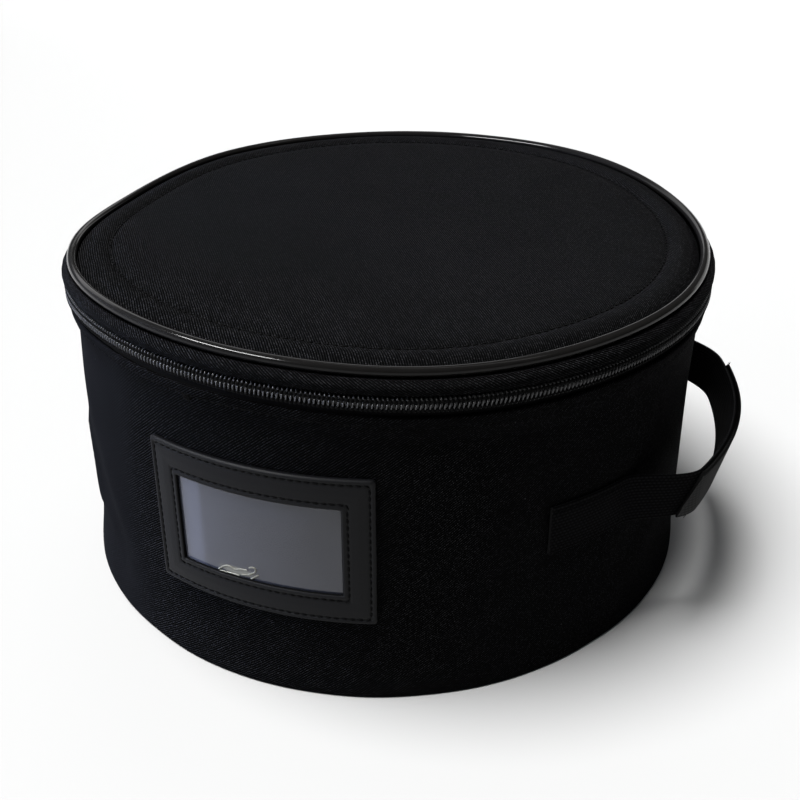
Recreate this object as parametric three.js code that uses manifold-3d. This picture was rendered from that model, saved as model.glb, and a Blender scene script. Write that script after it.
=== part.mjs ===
// Cap carrier: a drum of black twill with a flat zipped lid, a card window and a webbing handle.
// Millimetres, +Z up. The origin is the middle of the base, on the surface that the drum stands on.
// Azimuth is counted in degrees round the drum: 0 at the card window (-Y), 90 towards +X.

import * as THREE from 'three';
import { mergeVertices } from 'three/addons/utils/BufferGeometryUtils.js';
import Module from 'manifold-3d';

// Drum
const WALL_RADIUS = 160.5;
const WALL_THICKNESS = 2;
const WALL_TOP = 151.5;
const FOOT_FLARE = 2.4; // how far the wall spreads at its foot
const FOOT_FLARE_HEIGHT = 14;
const FOOT_ROUNDING = 1.3;
const RIM_FLARE = 3.5; // how far the wall spreads under the zip
const RIM_FLARE_START = 135.5;
const BASE_THICKNESS = 3;
const GAP = 0.3; // clearance between pieces that are sewn to each other
const RING_STEPS = 72;

// Zip
const ZIP_HEIGHT = 157.4;
const COIL_WIDTH = 7.2; // both halves together
const COIL_DEPTH = 2.8;
const TAPE_THICKNESS = 1;
const TAPE_WIDTH_UPPER = 6.9;
const TAPE_WIDTH_LOWER = 12;
const ZIP_END = 160; // azimuth where the zip stops on either side of the back
const COIL_STEPS = 64;
const SLIDER_LENGTH = 12;
const SLIDER_HEIGHT = 9.6;
const SLIDER_DEPTH = 4.6;
const PULL_LENGTH = 27;
const PULL_WIDTH = 7;
const PULL_THICKNESS = 1.6;
const PULL_OVERLAP = 2; // how far the pull reaches into the slider that it is part of
const SLIDER_STEPS = 2;

// Lid
const PIPING_RADIUS = 159.7;
const PIPING_HEIGHT = 171;
const PIPING_DIAMETER = 4.6;
const PIPING_SIDES = 8;
const BAND_FOOT_CLEARANCE = 1; // from the coil to the band's hem
const LID_PANEL_THICKNESS = 2.5;
const HINGE_STEPS = 8;

// Card window
const WINDOW_HEIGHT = 82.8; // middle of the window
const WINDOW_FRAME = { width: 109.4, height: 77.4 };
const WINDOW_OPENING = { width: 79.5, height: 45.8 };
const WINDOW_FILM = { width: 95, height: 61 };
const FILM_THICKNESS = 0.5;
const FRAME_THICKNESS = 2;
const WINDOW_COLUMNS = 16;

// Handle
const STRAP_WIDTH = 25;
const STRAP_THICKNESS = 1.8;
const STRAP_HEIGHT = 79.5; // middle of the strap
const STRAP_START = 48; // azimuth of the near sewn end
const LOOP_START = 63.5; // azimuths where the strap leaves the wall
const LOOP_END = 131;
const STRAP_END = 147;
const STRAP_STEP = 1; // degrees between sections, shared by both layers so that they nest
const STRAP_NUDGE = 0.01; // degrees either way, to find the strap's direction
const LOOP_STANDOFF = 20.5;
const LOOP_RISE = 11.5; // degrees that the strap takes to reach its full stand-off
const LOOP_FALL = 19; // degrees that it takes to come back to the wall
const LOOP_LEAN = 15; // degrees that the loop's top edge leans outwards at the middle of the grip
const LOOP_LEAN_WIDTH = 26;
const NEAR_END_RISE = 3; // the strap slants up towards the window
const NEAR_END_RISE_FOOT = 95; // azimuth where it starts to slant
const GRIP_START = 73;
const GRIP_END = 110;
const GRIP_THICKNESS = 2;

// Softness: the foot is tucked in under the handle and the rim at the left, and the lid sits to one side
const FOOT_TUCK = 2.2;
const FOOT_TUCK_AZIMUTH = 65;
const FOOT_TUCK_WIDTH = 35; // degrees
const SLACK_START = 100; // heights between which the rim's rise, its tuck and the lid's shift grow
const SLACK_FULL = 146;
const RIM_TUCK = 1.5;
const RIM_TUCK_AZIMUTH = -85;
const RIM_TUCK_WIDTH = 28; // degrees
const LID_SHIFT = 1;
const LID_SHIFT_AZIMUTH = 110;

// Rise of the soft rim at even steps round the drum: the stiff window holds it up, and it sags at the left
const RIM = [
  { azimuth: 0, rise: 3.4 },
  { azimuth: 30, rise: 0.5 },
  { azimuth: 60, rise: 0.4 },
  { azimuth: 90, rise: -0.8 },
  { azimuth: 120, rise: -0.5 },
  { azimuth: 150, rise: 1.6 },
  { azimuth: 180, rise: 0.3 },
  { azimuth: 210, rise: -1.1 },
  { azimuth: 240, rise: -2.3 },
  { azimuth: 270, rise: -6.8 },
  { azimuth: 300, rise: -1.2 },
  { azimuth: 330, rise: 3.9 },
];

// Folds of the wall, each along a line from its top to its foot. Depth is positive outwards
const FOLDS = [
  { name: 'left ridge', topAzimuth: -45, topZ: 108, footAzimuth: -29, footZ: 42, spread: 12, depth: 1.2 },
  { name: 'left hollow', topAzimuth: -46, topZ: 66, footAzimuth: -38, footZ: 38, spread: 13, depth: -1.3 },
  { name: 'foot crease', topAzimuth: -56, topZ: 38, footAzimuth: -38, footZ: 20, spread: 11, depth: -1.5 },
  { name: 'inner strap pull', topAzimuth: 63, topZ: 60, footAzimuth: 59, footZ: 42, spread: 11, depth: 0.9 },
  { name: 'outer strap pull', topAzimuth: 78, topZ: 52, footAzimuth: 62, footZ: 24, spread: 11, depth: 1.1 },
  { name: 'far hollow', topAzimuth: 128, topZ: 58, footAzimuth: 139, footZ: 30, spread: 13, depth: -1 },
];

// Heights of the wall's rings, close together where the wall spreads
const WALL_RINGS = [FOOT_ROUNDING, 6, 14, 24, 40, 60, 80, 100, 120, RIM_FLARE_START, 141, 146, WALL_TOP];

// Section of the lid's band: rise runs from its hem (0) to the piping (1), stand is beyond the wall's radius
const BAND_SECTION = [
  { rise: 0, stand: 3.6 },
  { rise: 0.42, stand: 4.8 },
  { rise: 0.7, stand: 4.4 },
  { rise: 1, stand: 1.8 },
];

// Top of the lid's panel, from its edge to its middle, with height counted from the piping's middle
const LID_PANEL_SECTION = [
  { name: 'edge', radius: PIPING_RADIUS - PIPING_DIAMETER / 2 - GAP, height: -0.6 },
  { name: 'shoulder', radius: 149, height: 0.6 },
  { name: 'sewn ring', radius: 141, height: 0.5 },
  { name: 'field', radius: 135, height: 1.2 },
  { name: 'middle', radius: 0, height: 1.8 },
];
const LID_UNDERSIDE = ['middle', 'shoulder', 'edge']; // rows of the top that the underside follows

// Section of one half of the coil, as shares of its width and depth, from the zip's middle line outwards
const COIL_SECTION = [
  { across: 0, out: 0 },
  { across: 1, out: 0 },
  { across: 0.95, out: 0.6 },
  { across: 0.5, out: 1 },
  { across: 0, out: 0.85 },
];

const TWILL = { color: 0x121214, roughness: 0.85, metalness: 0 };
const LEATHERETTE = { color: 0x26262a, roughness: 0.5, metalness: 0 };
const PIPING_PVC = { color: 0x0c0c0d, roughness: 0.25, metalness: 0 };
const ZIP_TAPE = { color: 0x0a0a0b, roughness: 0.9, metalness: 0 };
const ZIP_NYLON = { color: 0x1c1c1f, roughness: 0.35, metalness: 0 };
const SLIDER_METAL = { color: 0x1a1a1c, roughness: 0.4, metalness: 0.8 };
const CLEAR_FILM = { color: 0x6c7076, roughness: 0.15, metalness: 0, transparent: true, opacity: 0.4 };
const WEBBING = { color: 0x0d0d0f, roughness: 0.9, metalness: 0 };

const wasm = await Module();
wasm.setup();

const carrier = new THREE.Group();

function addPiece(name, geometry, finish) {
  const piece = new THREE.Mesh(geometry, new THREE.MeshStandardMaterial(finish));
  piece.name = name;
  carrier.add(piece);
}

// Point at an azimuth in degrees, a radius and a height
function onDrum(azimuth, radius, height) {
  const angle = THREE.MathUtils.degToRad(azimuth);
  return new THREE.Vector3(radius * Math.sin(angle), -radius * Math.cos(angle), height);
}

function bell(distance, width) {
  return Math.exp(-((distance / width) ** 2));
}

// Moves every vertex of a geometry by a function of its place
function warp(geometry, move) {
  const positions = geometry.getAttribute('position');
  const point = new THREE.Vector3();
  for (let i = 0; i < positions.count; i += 1) {
    point.fromBufferAttribute(positions, i);
    const moved = move(point);
    positions.setXYZ(i, moved.x, moved.y, moved.z);
  }
  geometry.computeVertexNormals();
  return geometry;
}

// How far the wall's folds stand out at a place on the wall
function foldDepth(azimuth, height) {
  const degree = THREE.MathUtils.degToRad(1) * WALL_RADIUS;
  const place = new THREE.Vector2(azimuth * degree, height);
  let depth = 0;
  for (const fold of FOLDS) {
    const top = new THREE.Vector2(fold.topAzimuth * degree, fold.topZ);
    const run = new THREE.Vector2(fold.footAzimuth * degree, fold.footZ).sub(top);
    const along = place.clone().sub(top).dot(run) / run.lengthSq();
    const nearest = top.addScaledVector(run, THREE.MathUtils.clamp(along, 0, 1));
    depth += fold.depth * bell(place.distanceTo(nearest), fold.spread);
  }
  return depth;
}

// A smooth closed line through the rim's rises
const rimPoints = RIM.map((row) => new THREE.Vector3(0, 0, row.rise));
const rimCurve = new THREE.CatmullRomCurve3(rimPoints, true, 'catmullrom', 0.5);

function rimRise(azimuth) {
  return rimCurve.getPoint(THREE.MathUtils.euclideanModulo(azimuth, 360) / 360).z;
}

// The drum as it stands: folds in the wall, foot and rim tucked in, the rim uneven, the lid to one side
function soften(point) {
  const azimuth = THREE.MathUtils.radToDeg(Math.atan2(point.x, -point.y));
  const radius = Math.hypot(point.x, point.y);
  const upper = THREE.MathUtils.smoothstep(point.z, SLACK_START, SLACK_FULL);
  const edge = Math.min(1, (radius / WALL_RADIUS) ** 2);
  const foot = bell(point.z, FOOT_FLARE_HEIGHT);
  const footTuck = FOOT_TUCK * bell(azimuth - FOOT_TUCK_AZIMUTH, FOOT_TUCK_WIDTH) * foot;
  const rimTuck = RIM_TUCK * bell(azimuth - RIM_TUCK_AZIMUTH, RIM_TUCK_WIDTH) * upper;
  const depth = foldDepth(azimuth, point.z) * (1 - upper) - footTuck - rimTuck;
  const moved = onDrum(azimuth, radius + depth * edge, point.z + rimRise(azimuth) * upper * edge);
  return moved.add(onDrum(LID_SHIFT_AZIMUTH, LID_SHIFT * upper, 0));
}

// A soft ring or disc turned from a section, which runs up its outside and down its inside
function turned(section) {
  const profile = section.map((spot) => new THREE.Vector2(spot.radius, spot.height));
  const ring = new THREE.LatheGeometry(profile, RING_STEPS);
  ring.rotateX(Math.PI / 2);
  return warp(ring, soften);
}

// A closed section for a wall of even thickness, from the points of its outside, lowest first
function walled(outside, thickness) {
  const inside = outside.map((spot) => ({ radius: spot.radius - thickness, height: spot.height }));
  return [...outside, ...inside.reverse(), outside[0]];
}

// A bar with a section in radius and height, bent round the drum from one azimuth to another
function bentBar(section, from, to, steps) {
  const shape = new THREE.Shape(section.map((spot) => new THREE.Vector2(spot.radius, spot.height)));
  const bar = new THREE.ExtrudeGeometry(shape, { depth: 1, steps, bevelEnabled: false });
  return warp(bar, (point) => soften(onDrum(to + (from - to) * point.z, point.x, point.y)));
}

function rectangle(inner, outer, low, high) {
  return [
    { radius: inner, height: low },
    { radius: outer, height: low },
    { radius: outer, height: high },
    { radius: inner, height: high },
  ];
}

// A rectangular panel on the wall, centred on the window, between two distances from the wall
function windowPanel(size, near, far) {
  const panel = new THREE.BoxGeometry(size.width, size.height, far - near, WINDOW_COLUMNS, 1, 1);
  const middle = WALL_RADIUS + (near + far) / 2;
  return warp(panel, (point) => {
    const azimuth = THREE.MathUtils.radToDeg(point.x / WALL_RADIUS);
    return onDrum(azimuth, middle + point.z, WINDOW_HEIGHT + point.y);
  });
}

// Joining and cutting of closed meshes
function toSolid(geometry) {
  const bare = geometry.clone();
  bare.deleteAttribute('normal');
  bare.deleteAttribute('uv');
  const merged = mergeVertices(bare);
  const vertProperties = new Float32Array(merged.getAttribute('position').array);
  const triVerts = new Uint32Array(merged.index.array);
  return new wasm.Manifold(new wasm.Mesh({ numProp: 3, vertProperties, triVerts }));
}

function toGeometry(solid) {
  const mesh = solid.getMesh();
  const geometry = new THREE.BufferGeometry();
  geometry.setAttribute('position', new THREE.BufferAttribute(new Float32Array(mesh.vertProperties), 3));
  geometry.setIndex(new THREE.BufferAttribute(new Uint32Array(mesh.triVerts), 1));
  geometry.computeVertexNormals();
  return geometry;
}

// Side wall and base
function wallOuter(height) {
  const foot = FOOT_FLARE * bell(height, FOOT_FLARE_HEIGHT);
  const rim = RIM_FLARE * THREE.MathUtils.smoothstep(height, RIM_FLARE_START, WALL_TOP);
  return WALL_RADIUS + foot + rim;
}

function wallInner(height) {
  return wallOuter(height) - WALL_THICKNESS;
}

function sideWall() {
  const outside = WALL_RINGS.map((height) => ({ radius: wallOuter(height), height }));
  const inside = WALL_RINGS.map((height) => ({ radius: wallInner(height), height })).reverse();
  const sole = { radius: wallOuter(0) - FOOT_ROUNDING, height: 0 };
  const innerFoot = { radius: wallInner(0), height: 0 };
  return turned([sole, ...outside, ...inside, innerFoot, sole]);
}

function basePanel() {
  const lowEdge = { radius: wallInner(0) - GAP, height: 0 };
  const highEdge = { radius: wallInner(BASE_THICKNESS) - GAP, height: BASE_THICKNESS };
  return turned([{ radius: 0, height: 0 }, lowEdge, highEdge, { radius: 0, height: BASE_THICKNESS }]);
}

addPiece('side_wall', sideWall(), TWILL);
addPiece('base_panel', basePanel(), TWILL);

// Lid
const bandFoot = ZIP_HEIGHT + COIL_WIDTH / 2 + BAND_FOOT_CLEARANCE;
const bandTop = PIPING_HEIGHT - PIPING_DIAMETER / 2 - GAP;

function lidPanel() {
  const top = LID_PANEL_SECTION.map((row) => ({ ...row, height: PIPING_HEIGHT + row.height }));
  const underside = LID_UNDERSIDE.map((name) => {
    const above = top.find((spot) => spot.name === name);
    return { ...above, height: above.height - LID_PANEL_THICKNESS };
  });
  return turned([...underside, ...top]);
}

function lidPiping() {
  const round = [];
  for (let side = 0; side <= PIPING_SIDES; side += 1) {
    const angle = ((side % PIPING_SIDES) * 2 * Math.PI) / PIPING_SIDES;
    const radius = PIPING_RADIUS + (PIPING_DIAMETER / 2) * Math.cos(angle);
    round.push({ radius, height: PIPING_HEIGHT + (PIPING_DIAMETER / 2) * Math.sin(angle) });
  }
  return turned(round);
}

function lidBand() {
  const outside = BAND_SECTION.map((row) => ({
    radius: WALL_RADIUS + row.stand,
    height: bandFoot + row.rise * (bandTop - bandFoot),
  }));
  return turned(walled(outside, WALL_THICKNESS));
}

addPiece('lid_panel', lidPanel(), TWILL);
addPiece('lid_piping', lidPiping(), PIPING_PVC);
addPiece('lid_band', lidBand(), TWILL);

// Zip: two tapes all the way round, and two halves of a coil that stop at the back
const tapeOuter = wallInner(WALL_TOP) - GAP;
const coilInner = tapeOuter + GAP;
const coilParting = GAP / 2;

function zipTapeUpper() {
  const low = ZIP_HEIGHT + coilParting;
  const outside = [
    { radius: tapeOuter, height: low },
    { radius: tapeOuter, height: low + TAPE_WIDTH_UPPER },
  ];
  return turned(walled(outside, TAPE_THICKNESS));
}

function zipTapeLower() {
  const high = ZIP_HEIGHT - coilParting;
  const low = high - TAPE_WIDTH_LOWER;
  const outside = [
    { radius: wallInner(low) - GAP, height: low },
    { radius: wallInner(WALL_TOP) - GAP, height: WALL_TOP },
    { radius: tapeOuter, height: high },
  ];
  return turned(walled(outside, TAPE_THICKNESS));
}

// One half of the coil, above (side 1) or below (side -1) the zip's middle line
function zipCoil(side) {
  const sliderArc = THREE.MathUtils.radToDeg((SLIDER_LENGTH + GAP) / coilInner);
  const section = COIL_SECTION.map((row) => ({
    radius: coilInner + row.out * COIL_DEPTH,
    height: ZIP_HEIGHT + side * (coilParting + row.across * (COIL_WIDTH / 2 - coilParting)),
  }));
  return bentBar(section, -ZIP_END, ZIP_END - sliderArc, COIL_STEPS);
}

function zipSlider() {
  const half = THREE.MathUtils.radToDeg(SLIDER_LENGTH / 2 / coilInner);
  const pullHalf = THREE.MathUtils.radToDeg(PULL_WIDTH / 2 / coilInner);
  const middle = ZIP_END - half;
  const face = coilInner + SLIDER_DEPTH;
  const low = ZIP_HEIGHT - SLIDER_HEIGHT / 2 + BAND_FOOT_CLEARANCE;
  const high = ZIP_HEIGHT + COIL_WIDTH / 2;
  const body = bentBar(rectangle(coilInner, face, low, high), middle - half, middle + half, SLIDER_STEPS);
  const pullTop = low + PULL_OVERLAP;
  const pullSection = rectangle(face - PULL_THICKNESS, face, pullTop - PULL_LENGTH, pullTop);
  const pull = bentBar(pullSection, middle - pullHalf, middle + pullHalf, SLIDER_STEPS);
  return toGeometry(toSolid(body).add(toSolid(pull)));
}

function hingeStrip() {
  const arcGap = THREE.MathUtils.radToDeg(GAP / coilInner);
  const section = rectangle(coilInner, coilInner + WALL_THICKNESS, WALL_TOP + GAP, bandFoot - GAP);
  return bentBar(section, ZIP_END + arcGap, 360 - ZIP_END - arcGap, HINGE_STEPS);
}

addPiece('zip_tape_upper', zipTapeUpper(), ZIP_TAPE);
addPiece('zip_tape_lower', zipTapeLower(), ZIP_TAPE);
addPiece('zip_coil_upper', zipCoil(1), ZIP_NYLON);
addPiece('zip_coil_lower', zipCoil(-1), ZIP_NYLON);
addPiece('zip_slider', zipSlider(), SLIDER_METAL);
addPiece('hinge_strip', hingeStrip(), TWILL);

// Card window: the film lies on the wall, in a recess behind the frame
function windowFrame() {
  const recessSize = { width: WINDOW_FILM.width + 2 * GAP, height: WINDOW_FILM.height + 2 * GAP };
  const recessDepth = GAP + FILM_THICKNESS + GAP;
  const frame = toSolid(windowPanel(WINDOW_FRAME, GAP, GAP + FRAME_THICKNESS));
  const recess = toSolid(windowPanel(recessSize, 0, recessDepth));
  const cutDepth = 2 * FRAME_THICKNESS;
  const opening = toSolid(windowPanel(WINDOW_OPENING, 0, cutDepth));
  return toGeometry(frame.subtract(recess).subtract(opening));
}

addPiece('window_frame', windowFrame(), LEATHERETTE);
addPiece('window_film', windowPanel(WINDOW_FILM, GAP, GAP + FILM_THICKNESS), CLEAR_FILM);

// Handle: both ends lie on the wall, and the loop between them stands off it
function loopShare(azimuth) {
  const rise = THREE.MathUtils.smoothstep(azimuth, LOOP_START, LOOP_START + LOOP_RISE);
  const fall = THREE.MathUtils.smoothstep(azimuth, LOOP_END - LOOP_FALL, LOOP_END);
  return rise * (1 - fall);
}

function strapPlan(azimuth) {
  return onDrum(azimuth, WALL_RADIUS + GAP + LOOP_STANDOFF * loopShare(azimuth), 0);
}

// Place on the handle: out from the strap's inner face, up from its middle line
function onStrap(azimuth, out, up) {
  const along = strapPlan(azimuth + STRAP_NUDGE).sub(strapPlan(azimuth - STRAP_NUDGE)).normalize();
  const outwards = new THREE.Vector3(along.y, -along.x, 0);
  const gripMiddle = (GRIP_START + GRIP_END) / 2;
  const leanAngle = LOOP_LEAN * bell(azimuth - gripMiddle, LOOP_LEAN_WIDTH) * loopShare(azimuth);
  const lean = up * Math.tan(THREE.MathUtils.degToRad(leanAngle));
  const nearEnd = THREE.MathUtils.mapLinear(azimuth, NEAR_END_RISE_FOOT, STRAP_START, 0, 1);
  const rise = NEAR_END_RISE * THREE.MathUtils.clamp(nearEnd, 0, 1);
  const height = STRAP_HEIGHT + up + rise;
  const fold = foldDepth(azimuth, height) * (1 - loopShare(azimuth));
  return strapPlan(azimuth).addScaledVector(outwards, out + lean + fold).setZ(height);
}

function webbingLayer(inner, thickness, from, to) {
  const steps = Math.round((to - from) / STRAP_STEP);
  const half = STRAP_WIDTH / 2;
  const section = rectangle(inner, inner + thickness, -half, half);
  const shape = new THREE.Shape(section.map((spot) => new THREE.Vector2(spot.radius, spot.height)));
  const layer = new THREE.ExtrudeGeometry(shape, { depth: 1, steps, bevelEnabled: false });
  return warp(layer, (point) => onStrap(to + (from - to) * point.z, point.x, point.y));
}

addPiece('handle_strap', webbingLayer(0, STRAP_THICKNESS, STRAP_START, STRAP_END), WEBBING);
const gripInner = STRAP_THICKNESS + GAP;
addPiece('handle_grip', webbingLayer(gripInner, GRIP_THICKNESS, GRIP_START, GRIP_END), WEBBING);

export default carrier;
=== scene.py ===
"""Cap carrier: the looks of a drum of black twill with a zipped lid, a card window and a webbing handle.

Metres, +Z up. The origin is the middle of the base, on the surface that the drum stands on.
Azimuth is counted round the drum: 0 at the card window (-Y), a quarter turn at +X.
"""

import math
from collections import namedtuple

import bmesh
import bpy
import numpy as np
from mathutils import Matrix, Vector


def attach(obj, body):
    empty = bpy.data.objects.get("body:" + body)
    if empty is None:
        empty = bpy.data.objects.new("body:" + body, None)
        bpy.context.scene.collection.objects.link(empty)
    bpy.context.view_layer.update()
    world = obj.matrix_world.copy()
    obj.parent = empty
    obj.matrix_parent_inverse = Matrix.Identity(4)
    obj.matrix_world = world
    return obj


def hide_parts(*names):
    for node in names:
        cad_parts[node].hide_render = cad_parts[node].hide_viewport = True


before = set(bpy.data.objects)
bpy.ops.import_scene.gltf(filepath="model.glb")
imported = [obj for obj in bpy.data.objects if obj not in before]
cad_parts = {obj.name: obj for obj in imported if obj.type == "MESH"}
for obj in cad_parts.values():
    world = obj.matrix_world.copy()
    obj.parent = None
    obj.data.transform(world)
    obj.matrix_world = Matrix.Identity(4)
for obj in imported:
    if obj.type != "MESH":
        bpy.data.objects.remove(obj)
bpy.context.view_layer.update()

bl_info = {
    "name": "Cap carrier",
    "version": (1, 0, 0),
    "blender": (4, 5, 0),
    "location": "View3D > Sidebar > Cap carrier",
    "description": "Dresses the packed cap carrier in twill, webbing, leatherette, piping and zip",
    "category": "Object",
}

MM = 0.001
BODY = "root"
CLOTH_UV = "cloth"
ROUND_STEPS = 540  # sections round the drum
ROW_STEPS = 720  # points of a stitch row round the drum
THREAD_SIDES = 6  # sides of a round thread or wire
WELD = 1e-7  # points nearer than this are one
GROOVE_WIDTH = 0.9 * MM  # half width of the groove along a stitch row
LID_FIELD = 118 * MM  # radius inside which the lid is flat enough for wide steps
BLACK = (0.0, 0.0, 0.0)
WHITE = (1.0, 1.0, 1.0)
COOL = (0.62, 0.72, 1.0)

Fold = namedtuple("Fold", "name top_azimuth top_height foot_azimuth foot_height spread depth")
Ripple = namedtuple("Ripple", "around phase depth upward", defaults=(0,))
Row = namedtuple("Row", "at height")
Lamp = namedtuple("Lamp", "name place target tint sides watts lights")

# Folds of the wall from top to foot: degrees and millimetres, depth positive outwards
FOLDS = (
    Fold("left ridge", -45, 108, -29, 42, 12, 1.2),
    Fold("left hollow", -46, 66, -38, 38, 13, -1.3),
    Fold("foot crease", -56, 38, -38, 20, 11, -1.5),
    Fold("left crease", -54, 80, -48, 44, 5, 1.3),
    Fold("inner strap pull", 63, 60, 59, 42, 11, 0.9),
    Fold("outer strap pull", 78, 52, 62, 24, 11, 1.1),
    Fold("far hollow", 128, 58, 139, 30, 13, -1.0),
)

# Slow unevenness of the wall: waves round the drum, phase, depth in millimetres, radians per metre up
RIPPLES = (
    Ripple(5, 0.6, 0.22, 14),
    Ripple(8, 2.2, 0.18, -31),
    Ripple(13, 4.1, 0.12, 43),
    Ripple(21, 1.1, 0.07, -22),
)

# Gathers of the wall's hem and the band, puckers of the lid's sewn ring and waves of its rim, likewise
HEM_GATHERS = (Ripple(67, 0, 0.06), Ripple(41, 2, 0.06))
BAND_GATHERS = (Ripple(83, 0.4, 0.05), Ripple(59, 0, 0.03))
RING_PUCKERS = (Ripple(71, 0, 0.09), Ripple(113, 1.3, 0.063))
RIM_WAVES = (Ripple(3, 0.8, 0.18), Ripple(5, 2.9, 0.18), Ripple(9, 0, 0.108))

# Rise of the soft rim at even steps round the drum: degrees and millimetres
RIM_ROWS = (
    Row(0, 3.4), Row(30, 0.5), Row(60, 0.4), Row(90, -0.8), Row(120, -0.5), Row(150, 1.6),
    Row(180, 0.3), Row(210, -1.1), Row(240, -2.3), Row(270, -6.8), Row(300, -1.2), Row(330, 3.9),
)

# Top of the lid from its middle to its edge: millimetres, and the width over which its corners are rounded
LID_ROWS = (
    Row(0, 1.8), Row(134, 1.7), Row(141, 0.9), Row(146, 2.1), Row(149, 2.1),
    Row(152, 1.2), Row(154.5, -0.7), Row(156, -2.4), Row(157.1, -4.5),
)
LID_EASE = 1.5

# Outside of the band: share of the rise from hem to piping, and stand off the wall in millimetres
BAND_ROWS = (Row(0, 3.6), Row(0.42, 4.8), Row(0.7, 4.4), Row(1, 1.8))
BAND_EASE = 0.1

# Creases at the foot of the window's film: across and up from the window's middle in millimetres
CREASES = (
    ((-21.1, -22.8), (-19, -20.7), (-16, -18.6), (-13.6, -18.9), (-12.1, -20.1), (-9.4, -18.7), (-5, -18.2)),
    ((-4.6, -16.8), (-2.7, -15.7), (-1, -16.2), (-1.1, -17.9), (-3.3, -19.8), (-6.2, -21.1), (-8.8, -21.7)),
    ((-4, -22.9), (-2.4, -21.7), (-1, -20.4), (0.3, -19.4)),
    ((-20.8, -23), (-17.2, -23), (-14.2, -22.5), (-9.2, -22.6)),
)

# Face of the window's frame from its outer edge (0) to the opening (1): height over the wall in millimetres
OUTER_GROOVE = 0.17
INNER_GROOVE = 0.81
FRAME_ROWS = (
    Row(0.0, 1.2), Row(0.02, 1.75), Row(0.06, 2.15), Row(0.11, 2.1), Row(0.145, 1.75),
    Row(OUTER_GROOVE, 1.5), Row(0.195, 1.75), Row(0.26, 2.0), Row(0.5, 2.15), Row(0.72, 2.0),
    Row(0.785, 1.75), Row(INNER_GROOVE, 1.5), Row(0.835, 1.75), Row(0.89, 2.1), Row(0.95, 2.15),
    Row(0.985, 1.8), Row(1.0, 1.3),
)
FRAME_EASE = 0.012

# Turn of the ribs on each piece of twill in degrees
TWILL_TURNS = {"wall": 52.4, "base": 20, "lid": -36.9, "band": -54, "hinge": 52.4}

# What sets one half of the zip's coil off from the other
COIL_LIES = ("Side", "Phase", "Leg Dip", "Edge Dip", "Head Dip")

# Windows of light round the drum: place, aim, tint, width and height, watts, and what each one lights
LAMPS = (
    Lamp("left_window", (-1.31, -0.3, 0.32), (0.0, 0.0, 0.08), COOL, (1.1, 0.6), 86, "cloth"),
    Lamp("left_sheen", (-1.33, -0.19, 0.55), (0.0, 0.0, 0.1), WHITE, (1.1, 1.1), 0.8, "gloss"),
    Lamp("strip", (-0.64, -0.82, 1.1), (0.0, 0.0, 0.17), WHITE, (0.8, 0.15), 40, "gloss"),
    Lamp("ceiling", (0.2, 0.45, 2.0), (0.0, 0.0, 0.17), WHITE, (3.0, 0.25), 4, "gloss"),
    Lamp("back_board", (0.3, 1.35, 0.3), (0.0, 0.0, 0.17), WHITE, (1.4, 0.35), 1.5, "gloss"),
    Lamp("back_sheen", (-0.9, 0.85, 0.8), (-0.1, 0.0, 0.17), WHITE, (1.6, 0.55), 4, "gloss"),
    Lamp("back_fill", (-0.42, 2.45, 0.35), (0.0, 0.0, 0.08), WHITE, (2.45, 0.525), 43, "cloth"),
)


def length(name, description, millimetres):
    """A property for a length, with its default given in millimetres."""
    return bpy.props.FloatProperty(
        name=name, description=description, default=millimetres * MM, unit="LENGTH", precision=5
    )


def angle(name, description, degrees):
    """A property for an angle, with its default given in degrees."""
    return bpy.props.FloatProperty(
        name=name, description=description, default=math.radians(degrees), subtype="ANGLE"
    )


def colour(name, description, rgb):
    """A property for a colour, with its default given as linear red, green and blue."""
    return bpy.props.FloatVectorProperty(
        name=name, description=description, default=rgb, size=3, min=0.0, max=1.0, subtype="COLOR"
    )


class DrumSizes(bpy.types.PropertyGroup):
    """Sizes of the wall and the base."""

    wall_radius: length("Wall radius", "Outside of the wall between its foot and its rim", 160.5)
    wall_thickness: length("Wall thickness", "Cloth and stiffener together", 2)
    wall_top: length("Wall top", "Height of the wall's hem under the zip", 151.5)
    foot_flare: length("Foot flare", "How far the wall spreads at its foot", 2.4)
    foot_flare_height: length("Foot flare height", "Height over which the foot spreads", 14)
    foot_rounding: length("Foot rounding", "Radius of the turn under the wall", 1.3)
    rim_flare: length("Rim flare", "How far the wall spreads under the zip", 3.5)
    rim_flare_start: length("Rim flare start", "Height where the wall starts to spread", 135.5)
    base_thickness: length("Base thickness", "Thickness of the base panel", 3)
    gap: length("Gap", "Clearance between pieces that are sewn to each other", 0.3)
    topstitch_height: length("Topstitch height", "Height of the stitch row under the zip", 146.4)
    stitch_groove: length("Stitch groove", "Depth that a stitch row pulls into the cloth", 0.4)


class SlackSizes(bpy.types.PropertyGroup):
    """How the soft drum stands."""

    foot_tuck: length("Foot tuck", "How far the foot is tucked in under the handle", 2.2)
    foot_tuck_azimuth: angle("Foot tuck azimuth", "Where the foot is tucked in most", 65)
    foot_tuck_width: angle("Foot tuck width", "Half width of the tucked foot", 35)
    slack_start: length("Slack start", "Height where the rim's rise and tuck and the lid's shift begin", 100)
    slack_full: length("Slack full", "Height where they are whole", 146)
    rim_tuck: length("Rim tuck", "How far the rim is tucked in at the left", 1.5)
    rim_tuck_azimuth: angle("Rim tuck azimuth", "Where the rim is tucked in most", -85)
    rim_tuck_width: angle("Rim tuck width", "Half width of the tucked rim", 28)
    lid_shift: length("Lid shift", "How far the lid sits to one side", 1)
    lid_shift_azimuth: angle("Lid shift azimuth", "Where the lid is shifted to", 110)


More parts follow.
